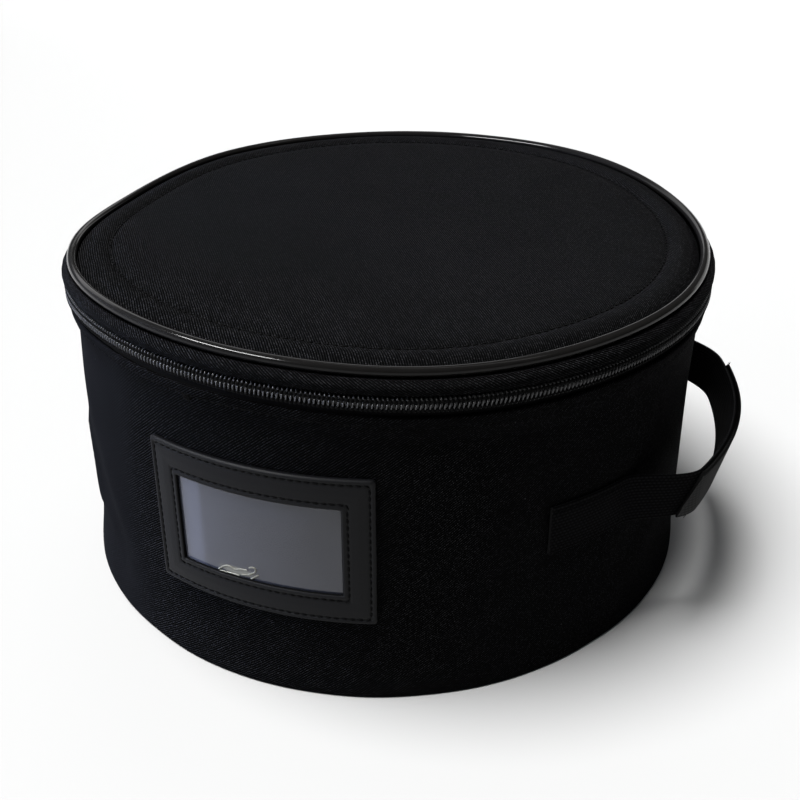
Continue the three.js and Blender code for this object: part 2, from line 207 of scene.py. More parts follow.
class LidSizes(bpy.types.PropertyGroup):
    """Sizes of the lid's panel, piping and band."""

    piping_radius: length("Piping radius", "Middle line of the piping round the lid", 159.7)
    piping_height: length("Piping height", "Height of the piping's middle line", 171)
    piping_diameter: length("Piping diameter", "Thickness of the piping", 4.6)
    panel_thickness: length("Panel thickness", "Thickness of the lid's panel", 2.5)
    ring_radius: length("Sewn ring radius", "Radius of the stitched ring on the lid", 141)
    band_clearance: length("Band clearance", "From the zip's coil to the band's hem", 1)


class ZipSizes(bpy.types.PropertyGroup):
    """Sizes of the zip and its slider."""

    height: length("Zip height", "Height of the zip's middle line", 157.4)
    chain_width: length("Chain width", "Both halves of the coil together", 7.2)
    chain_depth: length("Chain depth", "How far the coil stands off its tape", 2.8)
    pitch: length("Coil pitch", "Distance from one turn of the coil to the next", 1.94)
    wire: length("Coil wire", "Thickness of the nylon wire", 0.75)
    head_reach: length("Head reach", "How far a turn's head reaches past the middle line", 0.95)
    sewing_offset: length("Sewing offset", "From the middle line to the thread over each half", 2.0)
    sewing_thread: length("Sewing thread", "Thickness of that thread", 1.8)
    tape_thickness: length("Tape thickness", "Thickness of the zip's tape", 1)
    tape_upper: length("Upper tape", "Width of the upper tape", 6.9)
    tape_lower: length("Lower tape", "Width of the lower tape", 12)
    end: angle("Zip end", "Azimuth where the zip stops on either side of the back", 160)
    slider_length: length("Slider length", "Length of the slider along the zip", 12)
    slider_height: length("Slider height", "Height of the slider across the zip", 9.6)
    slider_depth: length("Slider depth", "How far the slider stands off the tape", 4.6)
    pull_length: length("Pull length", "Length of the slider's pull", 27)
    pull_width: length("Pull width", "Width of the slider's pull", 7)
    pull_thickness: length("Pull thickness", "Thickness of the slider's pull", 1.6)


class WindowSizes(bpy.types.PropertyGroup):
    """Sizes of the card window."""

    height: length("Window height", "Height of the window's middle", 82.8)
    frame_width: length("Frame width", "Outside of the frame along the wall", 109.4)
    frame_height: length("Frame height", "Outside of the frame up the wall", 77.4)
    opening_width: length("Opening width", "Opening along the wall", 79.5)
    opening_height: length("Opening height", "Opening up the wall", 45.8)
    film_width: length("Film width", "Clear film along the wall", 95)
    film_height: length("Film height", "Clear film up the wall", 61)
    film_thickness: length("Film thickness", "Thickness of the clear film", 0.5)


class HandleSizes(bpy.types.PropertyGroup):
    """Sizes of the webbing handle."""

    width: length("Strap width", "Width of the webbing", 25)
    thickness: length("Strap thickness", "Thickness of the webbing", 1.8)
    height: length("Strap height", "Height of the strap's middle line", 79.5)
    start: angle("Strap start", "Azimuth of the near sewn end", 48)
    loop_start: angle("Loop start", "Azimuth where the strap leaves the wall", 63.5)
    loop_end: angle("Loop end", "Azimuth where the strap is back on the wall", 131)
    end: angle("Strap end", "Azimuth of the far sewn end", 147)
    standoff: length("Loop stand-off", "How far the loop stands off the wall", 20.5)
    loop_rise: angle("Loop rise", "Turn that the strap takes to stand off", 11.5)
    loop_fall: angle("Loop fall", "Turn that the strap takes to come back", 19)
    lean: angle("Loop lean", "How far the loop's top edge leans outwards", 15)
    lean_width: angle("Lean width", "Half width of the leaning stretch", 26)
    near_end_rise: length("Near end rise", "How far the strap slants up towards the window", 3)
    near_end_rise_foot: angle("Near end rise foot", "Azimuth where it starts to slant", 95)
    grip_start: angle("Grip start", "Azimuth of the grip's near end", 73)
    grip_end: angle("Grip end", "Azimuth of the grip's far end", 110)
    grip_slant: angle("Grip slant", "How far the grip's near end slants from its middle to its edge", 1.3)
    grip_thickness: length("Grip thickness", "Thickness of the grip's second layer", 2)
    stitch_inset: length("Stitch inset", "From the strap's edge to its stitches", 2.8)


class StitchSizes(bpy.types.PropertyGroup):
    """Sizes of the sewing thread and its stitches."""

    pitch: length("Stitch pitch", "From one stitch to the next", 3.7)
    length: length("Stitch length", "Length of one stitch on the face", 2.9)
    thread: length("Thread", "Thickness of the sewing thread", 0.62)
    frame_thread: length("Frame thread", "Thickness of the frame's and the lid's thread", 0.95)


class CarrierColours(bpy.types.PropertyGroup):
    """Colours of the finishes."""

    twill_crest: colour("Twill crest", "Top of the twill's ribs", (0.052, 0.052, 0.056))
    twill_valley: colour("Twill valley", "Between the twill's ribs", (0.0003, 0.0003, 0.0003))
    lint: colour("Lint", "Specks of lint on the cloth", (0.1, 0.1, 0.105))
    webbing: colour("Webbing", "Handle strap", (0.0066, 0.0066, 0.0072))
    # The grip's tint is painted light, the pale of its near outer face; webbing() darkens the rest of the
    # grip to painted shade
    grip: colour("Grip", "Outer layer of the handle", (0.036, 0.036, 0.0362))
    sealed: colour("Sealed end", "Melted edge of the strap's cut ends", (0.0035, 0.0035, 0.0037))
    leatherette: colour("Leatherette", "Window frame", (0.0035, 0.0036, 0.0041))
    piping: colour("Piping", "PVC piping", (0.004, 0.0038, 0.0036))
    nylon: colour("Nylon", "Zip coil", (0.04, 0.04, 0.0415))
    tape: colour("Tape", "Zip tape", (0.0022, 0.0022, 0.0024))
    metal: colour("Slider lacquer", "Zip slider", (0.008, 0.008, 0.0085))
    thread: colour("Thread", "Sewing thread", (0.0014, 0.0014, 0.0015))
    film: colour("Film", "Haze of the clear film", (0.0276, 0.0297, 0.0388))
    # Cream of the film's crease lines and of the patch round them
    crease: colour("Crease", "Whitened crease in the film", (0.19, 0.184, 0.147))
    floor: colour("Floor", "Pale floor of the studio", (0.35, 0.35, 0.35))


GROUPS = {
    "carrier_drum": DrumSizes,
    "carrier_slack": SlackSizes,
    "carrier_lid": LidSizes,
    "carrier_zip": ZipSizes,
    "carrier_window": WindowSizes,
    "carrier_handle": HandleSizes,
    "carrier_stitch": StitchSizes,
    "carrier_colours": CarrierColours,
}


# Shape of the drum


def bell(distance, width):
    """Smooth hill, 1 at no distance, that dies out past a width."""
    return np.exp(-((distance / width) ** 2))


def smoothstep(value, low, high):
    """Smooth step from 0 to 1 as a value goes from low to high."""
    share = np.clip((value - low) / (high - low), 0, 1)
    return share * share * (3 - 2 * share)


def eased(value, rows, blur):
    """Height of a row table at a value, with its corners rounded over a width."""
    at = [row.at for row in rows]
    height = [row.height for row in rows]
    return np.mean([np.interp(value + step, at, height) for step in np.linspace(-blur, blur, 9)], axis=0)


def on_drum(azimuth, radius, height):
    """Point at an azimuth, a radius and a height."""
    x, y, z = np.broadcast_arrays(radius * np.sin(azimuth), -radius * np.cos(azimuth), height)
    return np.stack((x, y, z), axis=-1)


def fold_depth(azimuth, height):
    """How far the wall's folds stand out at a place on the wall."""
    radius = bpy.context.scene.carrier_drum.wall_radius
    place = np.stack(np.broadcast_arrays(azimuth * radius, height), axis=-1)
    depth = 0.0
    for fold in FOLDS:
        top = np.array((math.radians(fold.top_azimuth) * radius, fold.top_height * MM))
        run = np.array((math.radians(fold.foot_azimuth) * radius, fold.foot_height * MM)) - top
        along = np.clip((place - top) @ run / (run @ run), 0, 1)
        away = np.linalg.norm(place - top - along[..., None] * run, axis=-1)
        depth = depth + fold.depth * MM * bell(away, fold.spread * MM)
    return depth


def rim_rise(azimuth):
    """Rise of the rim at an azimuth, on a smooth closed line through its rows."""
    rises = np.array([row.height for row in RIM_ROWS]) * MM
    place = (azimuth % (2 * math.pi)) * len(rises) / (2 * math.pi)
    first = np.floor(place).astype(int)
    share = place - first
    before, here, after, beyond = (rises[(first + step) % len(rises)] for step in (-1, 0, 1, 2))
    slope = after - before
    bend = 2 * before - 5 * here + 4 * after - beyond
    twist = 3 * (here - after) + beyond - before
    return here + 0.5 * share * (slope + share * (bend + share * twist))


def soften(azimuth, radius, height):
    """The drum as it stands: folds, foot and rim tucked in, the rim uneven, the lid to one side."""
    slack = bpy.context.scene.carrier_slack
    drum = bpy.context.scene.carrier_drum
    azimuth = (azimuth + math.pi) % (2 * math.pi) - math.pi
    upper = smoothstep(height, slack.slack_start, slack.slack_full)
    edge = np.minimum(1, (radius / drum.wall_radius) ** 2)
    foot = bell(height, drum.foot_flare_height)
    foot_tuck = slack.foot_tuck * bell(azimuth - slack.foot_tuck_azimuth, slack.foot_tuck_width) * foot
    rim_tuck = slack.rim_tuck * bell(azimuth - slack.rim_tuck_azimuth, slack.rim_tuck_width) * upper
    depth = fold_depth(azimuth, height) * (1 - upper) - foot_tuck - rim_tuck
    lift = rim_rise(azimuth) * upper * edge
    shift = on_drum(slack.lid_shift_azimuth, slack.lid_shift * upper, 0.0)
    return on_drum(azimuth, radius + depth * edge, height + lift) + shift


def wall_outer(height):
    """Radius of the wall's outside at a height."""
    drum = bpy.context.scene.carrier_drum
    foot = drum.foot_flare * bell(height, drum.foot_flare_height)
    rim = drum.rim_flare * smoothstep(height, drum.rim_flare_start, drum.wall_top)
    return drum.wall_radius + foot + rim


def rippled(azimuth, ripples, height=0.0):
    """Sum of ripples round the drum at an azimuth and a height."""
    depth = 0.0
    for wave in ripples:
        depth = depth + wave.depth * MM * np.sin(wave.around * azimuth + wave.upward * height + wave.phase)
    return depth


def wall_ripple(azimuth, height):
    """Slow unevenness of the wall, which dies out under the window and the strap's sewn ends."""
    drum = bpy.context.scene.carrier_drum
    window = bpy.context.scene.carrier_window
    handle = bpy.context.scene.carrier_handle
    gather_reach = 14 * MM
    window_ease = 1.4  # half sizes from the window's middle where the ripples are whole again
    strap_ease = 1.8
    gathers = rippled(azimuth, HEM_GATHERS) * bell(height - drum.wall_top, gather_reach)
    depth = rippled(azimuth, RIPPLES, height) + gathers
    across = np.abs(azimuth) * drum.wall_radius * 2 / window.frame_width
    up = np.abs(height - window.height) * 2 / window.frame_height
    clear = smoothstep(np.maximum(across, up), 1.0, window_ease)
    for low, high in ((handle.start, handle.loop_start), (handle.loop_end, handle.end)):
        across = np.abs(azimuth - (low + high) / 2) * 2 / (high - low)
        up = np.abs(height - strap_height(azimuth)) * 2 / handle.width
        clear = clear * smoothstep(np.maximum(across, up), 1.0, strap_ease)
    return depth * clear


def lid_rise(radius):
    """Height of the lid's top over the piping's middle line."""
    return eased(radius / MM, LID_ROWS, LID_EASE) * MM


def on_lid(azimuth, radius, height):
    """Place on the lid, with the puckers of its sewn ring, its uneven rim and the rim's rolled front."""
    lid = bpy.context.scene.carrier_lid
    pucker_reach = 7 * MM
    waves_middle = 146 * MM
    waves_reach = 12 * MM
    roll_middle = math.radians(50)
    roll_reach = math.radians(60)
    held_rise = 2.4 * MM
    held_from = 151 * MM
    held_to = 157 * MM
    gathered = rippled(azimuth, RING_PUCKERS) * bell(radius - lid.ring_radius, pucker_reach)
    uneven = rippled(azimuth, RIM_WAVES) * bell(radius - waves_middle, waves_reach)
    rolled = bell(azimuth - roll_middle, roll_reach)
    held = held_rise * (1 - rolled) * smoothstep(radius, held_from, held_to)
    return soften(azimuth, radius, height + gathered + uneven + held)


def coil_inner():
    """Radius of the face of the zip's tape that the coil lies on."""
    drum = bpy.context.scene.carrier_drum
    return wall_outer(drum.wall_top) - drum.wall_thickness


def on_window(across, up, out):
    """Place on the card window: across and up from its middle, out from the wall."""
    radius = bpy.context.scene.carrier_drum.wall_radius
    return on_drum(across / radius, radius + out, bpy.context.scene.carrier_window.height + up)


def frame_rise(share):
    """Height of the window frame's face over the wall, from its outer edge (0) to the opening (1)."""
    return eased(share, FRAME_ROWS, FRAME_EASE) * MM


def frame_outline(share):
    """Points round the window's frame, from its outer edge (0) to the opening (1)."""
    window = bpy.context.scene.carrier_window
    outer_corner = 1.6 * MM
    opening_corner = 0.7 * MM
    width = window.frame_width + (window.opening_width - window.frame_width) * share
    height = window.frame_height + (window.opening_height - window.frame_height) * share
    corner = outer_corner + (opening_corner - outer_corner) * share
    return rounded_rectangle(width / 2, height / 2, corner, steps=(48, 30, 5))


def loop_share(azimuth):
    """How much of its stand-off the handle's loop has at an azimuth."""
    handle = bpy.context.scene.carrier_handle
    rise = smoothstep(azimuth, handle.loop_start, handle.loop_start + handle.loop_rise)
    return rise * (1 - smoothstep(azimuth, handle.loop_end - handle.loop_fall, handle.loop_end))


def strap_height(azimuth):
    """Height of the strap's middle line, which slants up towards the window."""
    handle = bpy.context.scene.carrier_handle
    share = (handle.near_end_rise_foot - azimuth) / (handle.near_end_rise_foot - handle.start)
    return handle.height + handle.near_end_rise * np.clip(share, 0, 1)


def strap_line(azimuth):
    """Inner face of the strap at an azimuth, at no height."""
    drum = bpy.context.scene.carrier_drum
    standoff = bpy.context.scene.carrier_handle.standoff * loop_share(azimuth)
    return on_drum(azimuth, drum.wall_radius + drum.gap + standoff, 0.0)


def on_strap(azimuth, out, up):
    """Place on the handle: out from the strap's inner face, up from its middle line."""
    handle = bpy.context.scene.carrier_handle
    nudge = 1e-4
    along = strap_line(azimuth + nudge) - strap_line(azimuth - nudge)
    along = along / np.linalg.norm(along, axis=-1, keepdims=True)
    outwards = np.stack((along[..., 1], -along[..., 0], np.zeros_like(along[..., 0])), axis=-1)
    grip_middle = (handle.grip_start + handle.grip_end) / 2
    lean_angle = handle.lean * bell(azimuth - grip_middle, handle.lean_width) * loop_share(azimuth)
    height = strap_height(azimuth) + up
    fold = fold_depth(azimuth, height) * (1 - loop_share(azimuth))
    reach = out + up * np.tan(lean_angle) + fold
    points = strap_line(azimuth) + outwards * reach[..., None]
    points[..., 2] = height
    return points


# Meshes


def grid_mesh(name, points, uv, close_rows=False, close_columns=False, caps=False):
    """Quads over a grid of points. The UV grid has a row or column more where the points close."""
    rows, columns = points.shape[:2]
    index = np.arange(rows * columns).reshape(rows, columns)
    first, last = index[0], index[-1][::-1]
    if close_rows:
        index = np.vstack((index, index[:1]))
    if close_columns:
        index = np.hstack((index, index[:, :1]))
    tall, wide = index.shape[0] - 1, index.shape[1] - 1
    corners = ((0, 0), (1, 0), (1, 1), (0, 1))
    quads = np.stack([index[r:r + tall, c:c + wide] for r, c in corners], axis=-1).reshape(-1, 4)
    corner_uv = np.stack([uv[r:r + tall, c:c + wide] for r, c in corners], axis=2).reshape(-1, 2)
    faces = quads.tolist()
    if caps:
        faces += [first.tolist(), last.tolist()]
        corner_uv = np.vstack((corner_uv, uv[0, :columns], uv[-1, :columns][::-1]))
    mesh = bpy.data.meshes.new(name)
    mesh.from_pydata(points.reshape(-1, 3).tolist(), [], faces)
    mesh.uv_layers.new(name=CLOTH_UV).data.foreach_set("uv", corner_uv.astype(np.float32).ravel())
    return mesh


def weld(mesh):
    """Merges points that coincide, so that poles close."""
    work = bmesh.new()
    work.from_mesh(mesh)
    bmesh.ops.remove_doubles(work, verts=work.verts, dist=WELD)
    work.to_mesh(mesh)
    work.free()
    return mesh


def run_lengths(points):
    """Distance along a line of points, from its first."""
    steps = np.linalg.norm(np.diff(points, axis=0), axis=1)
    return np.concatenate(((0.0,), np.cumsum(steps)))


def closed_lengths(points):
    """Distance round a closed line of points, back to its first."""
    return run_lengths(np.vstack((points, points[:1])))


def uv_grid(rows, columns):
    """UV of a grid from the distances along its rows and its columns."""
    return np.stack(np.meshgrid(rows, columns, indexing="ij"), axis=-1)


def turned(name, section, place=soften, flat=False):
    """Ring turned from a section of (radius, height), or a disc, whose cloth is cut flat."""
    section = np.asarray(section, float)
    azimuth = np.linspace(-math.pi, math.pi, ROUND_STEPS + 1)
    points = place(azimuth[:-1, None], section[:, 0], section[:, 1])
    if flat:
        uv = np.concatenate((points, points[:1]))[..., :2]
        return weld(grid_mesh(name, points, uv, close_rows=True))
    across = azimuth * bpy.context.scene.carrier_drum.wall_radius
    uv = uv_grid(across, closed_lengths(section))
    return grid_mesh(name, points, uv, close_rows=True, close_columns=True)


def swept(name, stations, loop, place):
    """Bar with closed ends: a loop of (out, up) points that a function places along stations."""
    points = place(stations[:, None], loop[:, 0], loop[:, 1])
    along = run_lengths(points.mean(axis=1))
    uv = uv_grid(along, closed_lengths(loop))
    return grid_mesh(name, points, uv, close_columns=True, caps=True)


def arc(middle, radius, start, end, steps):
    """Points of an arc round a middle, from one turn to another."""
    turns = np.linspace(start, end, steps)
    return np.asarray(middle) + radius * np.stack((np.cos(turns), np.sin(turns)), axis=-1)


def rounded_rectangle(half_width, half_height, corner, steps):
    """Points counter-clockwise round a rectangle from its lower right. steps: width, height, corner."""
    middles = ((1, -1), (1, 1), (-1, 1), (-1, -1))
    corners = []
    for turn, (side_x, side_y) in enumerate(middles):
        middle = (side_x * (half_width - corner), side_y * (half_height - corner))
        first = (turn - 1) * math.pi / 2
        corners.append(arc(middle, corner, first, first + math.pi / 2, steps[2] + 1))
    outline = []
    for turn, bend in enumerate(corners):
        following = corners[(turn + 1) % len(corners)][0]
        share = np.linspace(0, 1, steps[1 if turn % 2 == 0 else 0] + 1)[1:-1, None]
        outline += [bend, bend[-1] * (1 - share) + following * share]
    return np.concatenate(outline)


def ring_loop(low, high, half_height, steps):
    """Loop of a strap's section between two distances out, with rounded edges."""
    half = (high - low) / 2
    rounding = 0.9 * half
    return rounded_rectangle(half, half_height, rounding, steps) + ((low + high) / 2, 0.0)


def new_object(name, data):
    """New object at the origin, in the scene."""
    item = bpy.data.objects.new(name, data)
    bpy.context.scene.collection.objects.link(item)
    return item


def add_piece(name, mesh, material, replaces=()):
    """Puts a finished mesh in the scene as a piece of the carrier, smooth but for its cut ends."""
    if not mesh.polygons:
        raise RuntimeError(f"{name} has no faces")
    if not mesh.materials:
        mesh.materials.append(material)
    sides = np.empty(len(mesh.polygons), np.int32)
    mesh.polygons.foreach_get("loop_total", sides)
    mesh.polygons.foreach_set("use_smooth", sides <= 4)
    piece = new_object(name, mesh)
    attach(piece, BODY)
    if replaces:
        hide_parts(*replaces)
    return piece


# Node trees


def fill(tree, node, inputs):
    """Fills inputs of a node: one that is given a socket is linked, and any other is set."""
    for key, value in dict(inputs).items():
        if isinstance(value, bpy.types.NodeSocket):
            tree.links.new(value, node.inputs[key])
        else:
            node.inputs[key].default_value = value


def add_node(tree, kind, inputs=(), **settings):
    """Adds a node with its settings and inputs."""
    node = tree.nodes.new(kind)
    for key, value in settings.items():
        setattr(node, key, value)
    fill(tree, node, inputs)
    return node


def maths(tree, operation, *values):
    """Result of an operation on numbers or sockets."""
    return add_node(tree, "ShaderNodeMath", enumerate(values), operation=operation).outputs[0]


def times(tree, first, second):
    return maths(tree, "MULTIPLY", first, second)


def power(tree, value, exponent):
    return maths(tree, "POWER", value, exponent)


def vectors(tree, operation, *values):
    """Result of an operation on vectors or sockets."""
    return add_node(tree, "ShaderNodeVectorMath", enumerate(values), operation=operation).outputs[0]


def scaled(tree, vector, factor):
    """Vector or colour times one number."""
    inputs = {0: vector, "Scale": factor}
    return add_node(tree, "ShaderNodeVectorMath", inputs, operation="SCALE").outputs[0]


def split(tree, vector):
    """Sockets X, Y and Z of a vector."""
    return add_node(tree, "ShaderNodeSeparateXYZ", {0: vector}).outputs


def joined(tree, **values):
    """Vector of the values given as X, Y and Z."""
    return add_node(tree, "ShaderNodeCombineXYZ", values).outputs[0]


def start_tree(name, inputs):
    """Geometry tree with a path and named inputs, given as (name, socket kind) pairs."""
    tree = bpy.data.node_groups.new(name, "GeometryNodeTree")
    tree.interface.new_socket("Geometry", in_out="OUTPUT", socket_type="NodeSocketGeometry")
    tree.interface.new_socket("Path", in_out="INPUT", socket_type="NodeSocketGeometry")
    for label, kind in inputs:
        tree.interface.new_socket(label, in_out="INPUT", socket_type=kind)
    tree.interface.new_socket("Material", in_out="INPUT", socket_type="NodeSocketMaterial")
    source = tree.nodes.new("NodeGroupInput").outputs
    curve = add_node(tree, "GeometryNodeMeshToCurve", {"Mesh": source["Path"]}).outputs[0]
    return tree, source, curve


def end_tree(tree, source, geometry):
    """Realizes the tree's instances, sets their material and closes the tree."""
    whole = add_node(tree, "GeometryNodeRealizeInstances", {"Geometry": geometry}).outputs[0]
    smooth = add_node(tree, "GeometryNodeSetShadeSmooth", {"Geometry": whole}).outputs[0]
    finished = add_node(
        tree, "GeometryNodeSetMaterial", {"Geometry": smooth, "Material": source["Material"]}
    ).outputs[0]
    add_node(tree, "NodeGroupOutput", {"Geometry": finished})
    return tree


def tube(tree, curve, thickness):
    """Round thread or wire along a curve."""
    outline = {"Resolution": THREAD_SIDES, "Radius": times(tree, thickness, 0.5)}
    ring = add_node(tree, "GeometryNodeCurvePrimitiveCircle", outline).outputs[0]
    inputs = {"Curve": curve, "Profile Curve": ring, "Fill Caps": True}
    return add_node(tree, "GeometryNodeCurveToMesh", inputs).outputs[0]


def coil_tree():
    """Nylon wire wound in flattened turns along a path round the drum."""
    flatness = 2.2  # how soon a turn reaches its front or its back
    sizes = ("Wire", "Edge Reach", "Head Reach", "Front", "Back", *COIL_LIES)
    inputs = [("Turns", "NodeSocketInt"), ("Steps", "NodeSocketInt")]
    tree, source, curve = start_tree("Zip coil", inputs + [(size, "NodeSocketFloat") for size in sizes])
    count = times(tree, source["Turns"], source["Steps"])
    wound = add_node(tree, "GeometryNodeResampleCurve", {"Curve": curve, "Count": count}, mode="COUNT")
    index = tree.nodes.new("GeometryNodeInputIndex").outputs[0]
    turn = maths(tree, "ADD", maths(tree, "DIVIDE", index, source["Steps"]), source["Phase"])
    sweep = times(tree, turn, 2 * math.pi)
    sine = maths(tree, "SINE", sweep)
    share_up = maths(tree, "MULTIPLY_ADD", maths(tree, "COSINE", sweep), 0.5, 0.5)
    share_down = maths(tree, "SUBTRACT", 1.0, share_up)
    swing = maths(tree, "MAXIMUM", maths(tree, "MINIMUM", times(tree, sine, flatness), 1.0), -1.0)
    leg = power(tree, maths(tree, "MAXIMUM", sine, 0.0), 2.0)
    edge = times(tree, power(tree, share_up, 2.0), source["Edge Dip"])
    head = maths(tree, "MULTIPLY_ADD", power(tree, share_down, 2.0), source["Head Dip"], edge)
    dip = maths(tree, "MULTIPLY_ADD", leg, source["Leg Dip"], head)
    share_out = maths(tree, "SUBTRACT", maths(tree, "MULTIPLY_ADD", swing, 0.5, 0.5), dip)
    span_up = maths(tree, "ADD", source["Edge Reach"], source["Head Reach"])
    span_out = maths(tree, "SUBTRACT", source["Front"], source["Back"])
    up = maths(tree, "SUBTRACT", times(tree, share_up, span_up), source["Head Reach"])
    out = maths(tree, "MULTIPLY_ADD", share_out, span_out, source["Back"])
    place = tree.nodes.new("GeometryNodeInputPosition").outputs[0]
    outwards = vectors(tree, "NORMALIZE", vectors(tree, "MULTIPLY", place, (1.0, 1.0, 0.0)))
    rise = joined(tree, Z=times(tree, up, source["Side"]))
    offset = vectors(tree, "ADD", scaled(tree, outwards, out), rise)
    line = add_node(tree, "GeometryNodeSetPosition", {"Geometry": wound.outputs[0], "Offset": offset})
    return end_tree(tree, source, tube(tree, line.outputs[0], source["Wire"]))


def stitch_tree():
    """A row of stitches along a path, each a little out of line."""
    sizes = ("Pitch", "Stitch Length", "Thread", "Wander")
    inputs = [(size, "NodeSocketFloat") for size in sizes] + [("Seed", "NodeSocketInt")]
    tree, source, curve = start_tree("Stitch row", inputs)
    steps = {"Curve": curve, "Length": source["Pitch"]}
    spots = add_node(tree, "GeometryNodeResampleCurve", steps, mode="LENGTH")
    tangent = tree.nodes.new("GeometryNodeInputTangent").outputs[0]
    aligned = add_node(tree, "FunctionNodeAlignRotationToVector", {"Vector": tangent}, axis="X")
    most = source["Wander"]
    least = times(tree, most, -1.0)
    limits = {0: joined(tree, Y=least, Z=least), 1: joined(tree, Y=most, Z=most), "Seed": source["Seed"]}
    wander = add_node(tree, "FunctionNodeRandomValue", limits, data_type="FLOAT_VECTOR")
    tilt = add_node(tree, "FunctionNodeEulerToRotation", {"Euler": wander.outputs[0]})
    turns = {"Rotation": aligned.outputs[0], "Rotate By": tilt.outputs[0]}
    rotation = add_node(tree, "FunctionNodeRotateRotation", turns, rotation_space="LOCAL")
    half_length = times(tree, source["Stitch Length"], 0.5)
    half_thread = times(tree, source["Thread"], 0.5)
    stitch = add_node(tree, "GeometryNodeMeshUVSphere", {"Segments": 8, "Rings": 6, "Radius": 1.0})
    sewn = {
        "Points": spots.outputs[0],
        "Instance": stitch.outputs[0],
        "Rotation": rotation.outputs[0],
        "Scale": joined(tree, X=half_length, Y=half_thread, Z=half_thread),
    }
    row = add_node(tree, "GeometryNodeInstanceOnPoints", sewn)
    return end_tree(tree, source, row.outputs[0])


def thread_tree():
    """Loose thread along a path."""
    tree, source, curve = start_tree("Loose thread", [("Thread", "NodeSocketFloat")])
    return end_tree(tree, source, tube(tree, curve, source["Thread"]))


def grow_piece(name, tree_maker, paths, inputs, finish, replaces=(), closed=False):
    """Puts a piece in the scene that a node tree grows along paths, each a list of points."""
    vertices = np.concatenate(paths).tolist()
    edges = []
    first = 0
    for path in paths:
        last = first + len(path) - 1
        edges += [(point, point + 1) for point in range(first, last)]
        if closed:
            edges.append((last, first))
        first = last + 1
    lines = bpy.data.meshes.new(name + "_path")
    lines.from_pydata(vertices, edges, [])
    holder = new_object(name + "_path", lines)
    growth = holder.modifiers.new("growth", "NODES")
    growth.node_group = tree_maker()
    settings = {**inputs, "Material": finish}
    for item in growth.node_group.interface.items_tree:
        if item.name in settings:
            growth[item.identifier] = settings[item.name]
    evaluated = holder.evaluated_get(bpy.context.evaluated_depsgraph_get())
    mesh = bpy.data.meshes.new_from_object(evaluated)
    mesh.name = name
    bpy.data.objects.remove(holder)
    bpy.data.meshes.remove(lines)
    return add_piece(name, mesh, finish, replaces)


# Finishes


def new_material(name):
    """New material, with its node tree and its shader."""
    material = bpy.data.materials.new(name)
    material.use_nodes = True
    return material, material.node_tree, material.node_tree.nodes["Principled BSDF"]


def woven_material(name):
    """New material that reads its cloth's own UV."""
    material, tree, shader = new_material(name)
    return material, tree, shader, add_node(tree, "ShaderNodeUVMap", uv_map=CLOTH_UV).outputs[0]


def solid_material(name):
    """New material that reads object coordinates."""
    material, tree, shader = new_material(name)
    return material, tree, shader, add_node(tree, "ShaderNodeTexCoord").outputs["Object"]


def rgba(tint, share=1.0):
    """Opaque colour: a tint, made darker or lighter by a share."""
    return (*(share * channel for channel in tint), 1.0)


def noise(tree, place, per_metre, detail=2.0, output="Fac"):
    inputs = {"Vector": place, "Scale": per_metre, "Detail": detail}
    return add_node(tree, "ShaderNodeTexNoise", inputs).outputs[output]


def mixed(tree, share, low, high):
    """Colour between two, which are colours or sockets."""
    node = add_node(tree, "ShaderNodeMix", {0: share, 6: low, 7: high}, data_type="RGBA")
    return node.outputs[2]


def spread(tree, share, low, high):
    """Number between two as a share goes from 0 to 1."""
    return maths(tree, "MULTIPLY_ADD", share, high - low, low)


def falling(tree, value, start, end, high, low):
    """Smooth step from high to low as a value goes from start to end."""
    limits = {"Value": value, "From Min": start, "From Max": end, "To Min": high, "To Max": low}
    return add_node(tree, "ShaderNodeMapRange", limits, interpolation_type="SMOOTHSTEP").outputs[0]


def coat(tree, shader, base, roughness, gloss=0.5):
    """Gives a shader its colour, roughness and gloss."""
    fill(tree, shader, {"Base Color": base, "Roughness": roughness, "Specular IOR Level": gloss})


def bump(tree, shader, height, strength, depth):
    """Gives a shader a relief."""
    node = add_node(tree, "ShaderNodeBump", {"Strength": strength, "Distance": depth, "Height": height})
    fill(tree, shader, {"Normal": node.outputs[0]})


def rib(tree, value):
    """A row of rounded ribs, one for each whole number."""
    return maths(tree, "SINE", times(tree, maths(tree, "FRACT", value), math.pi))


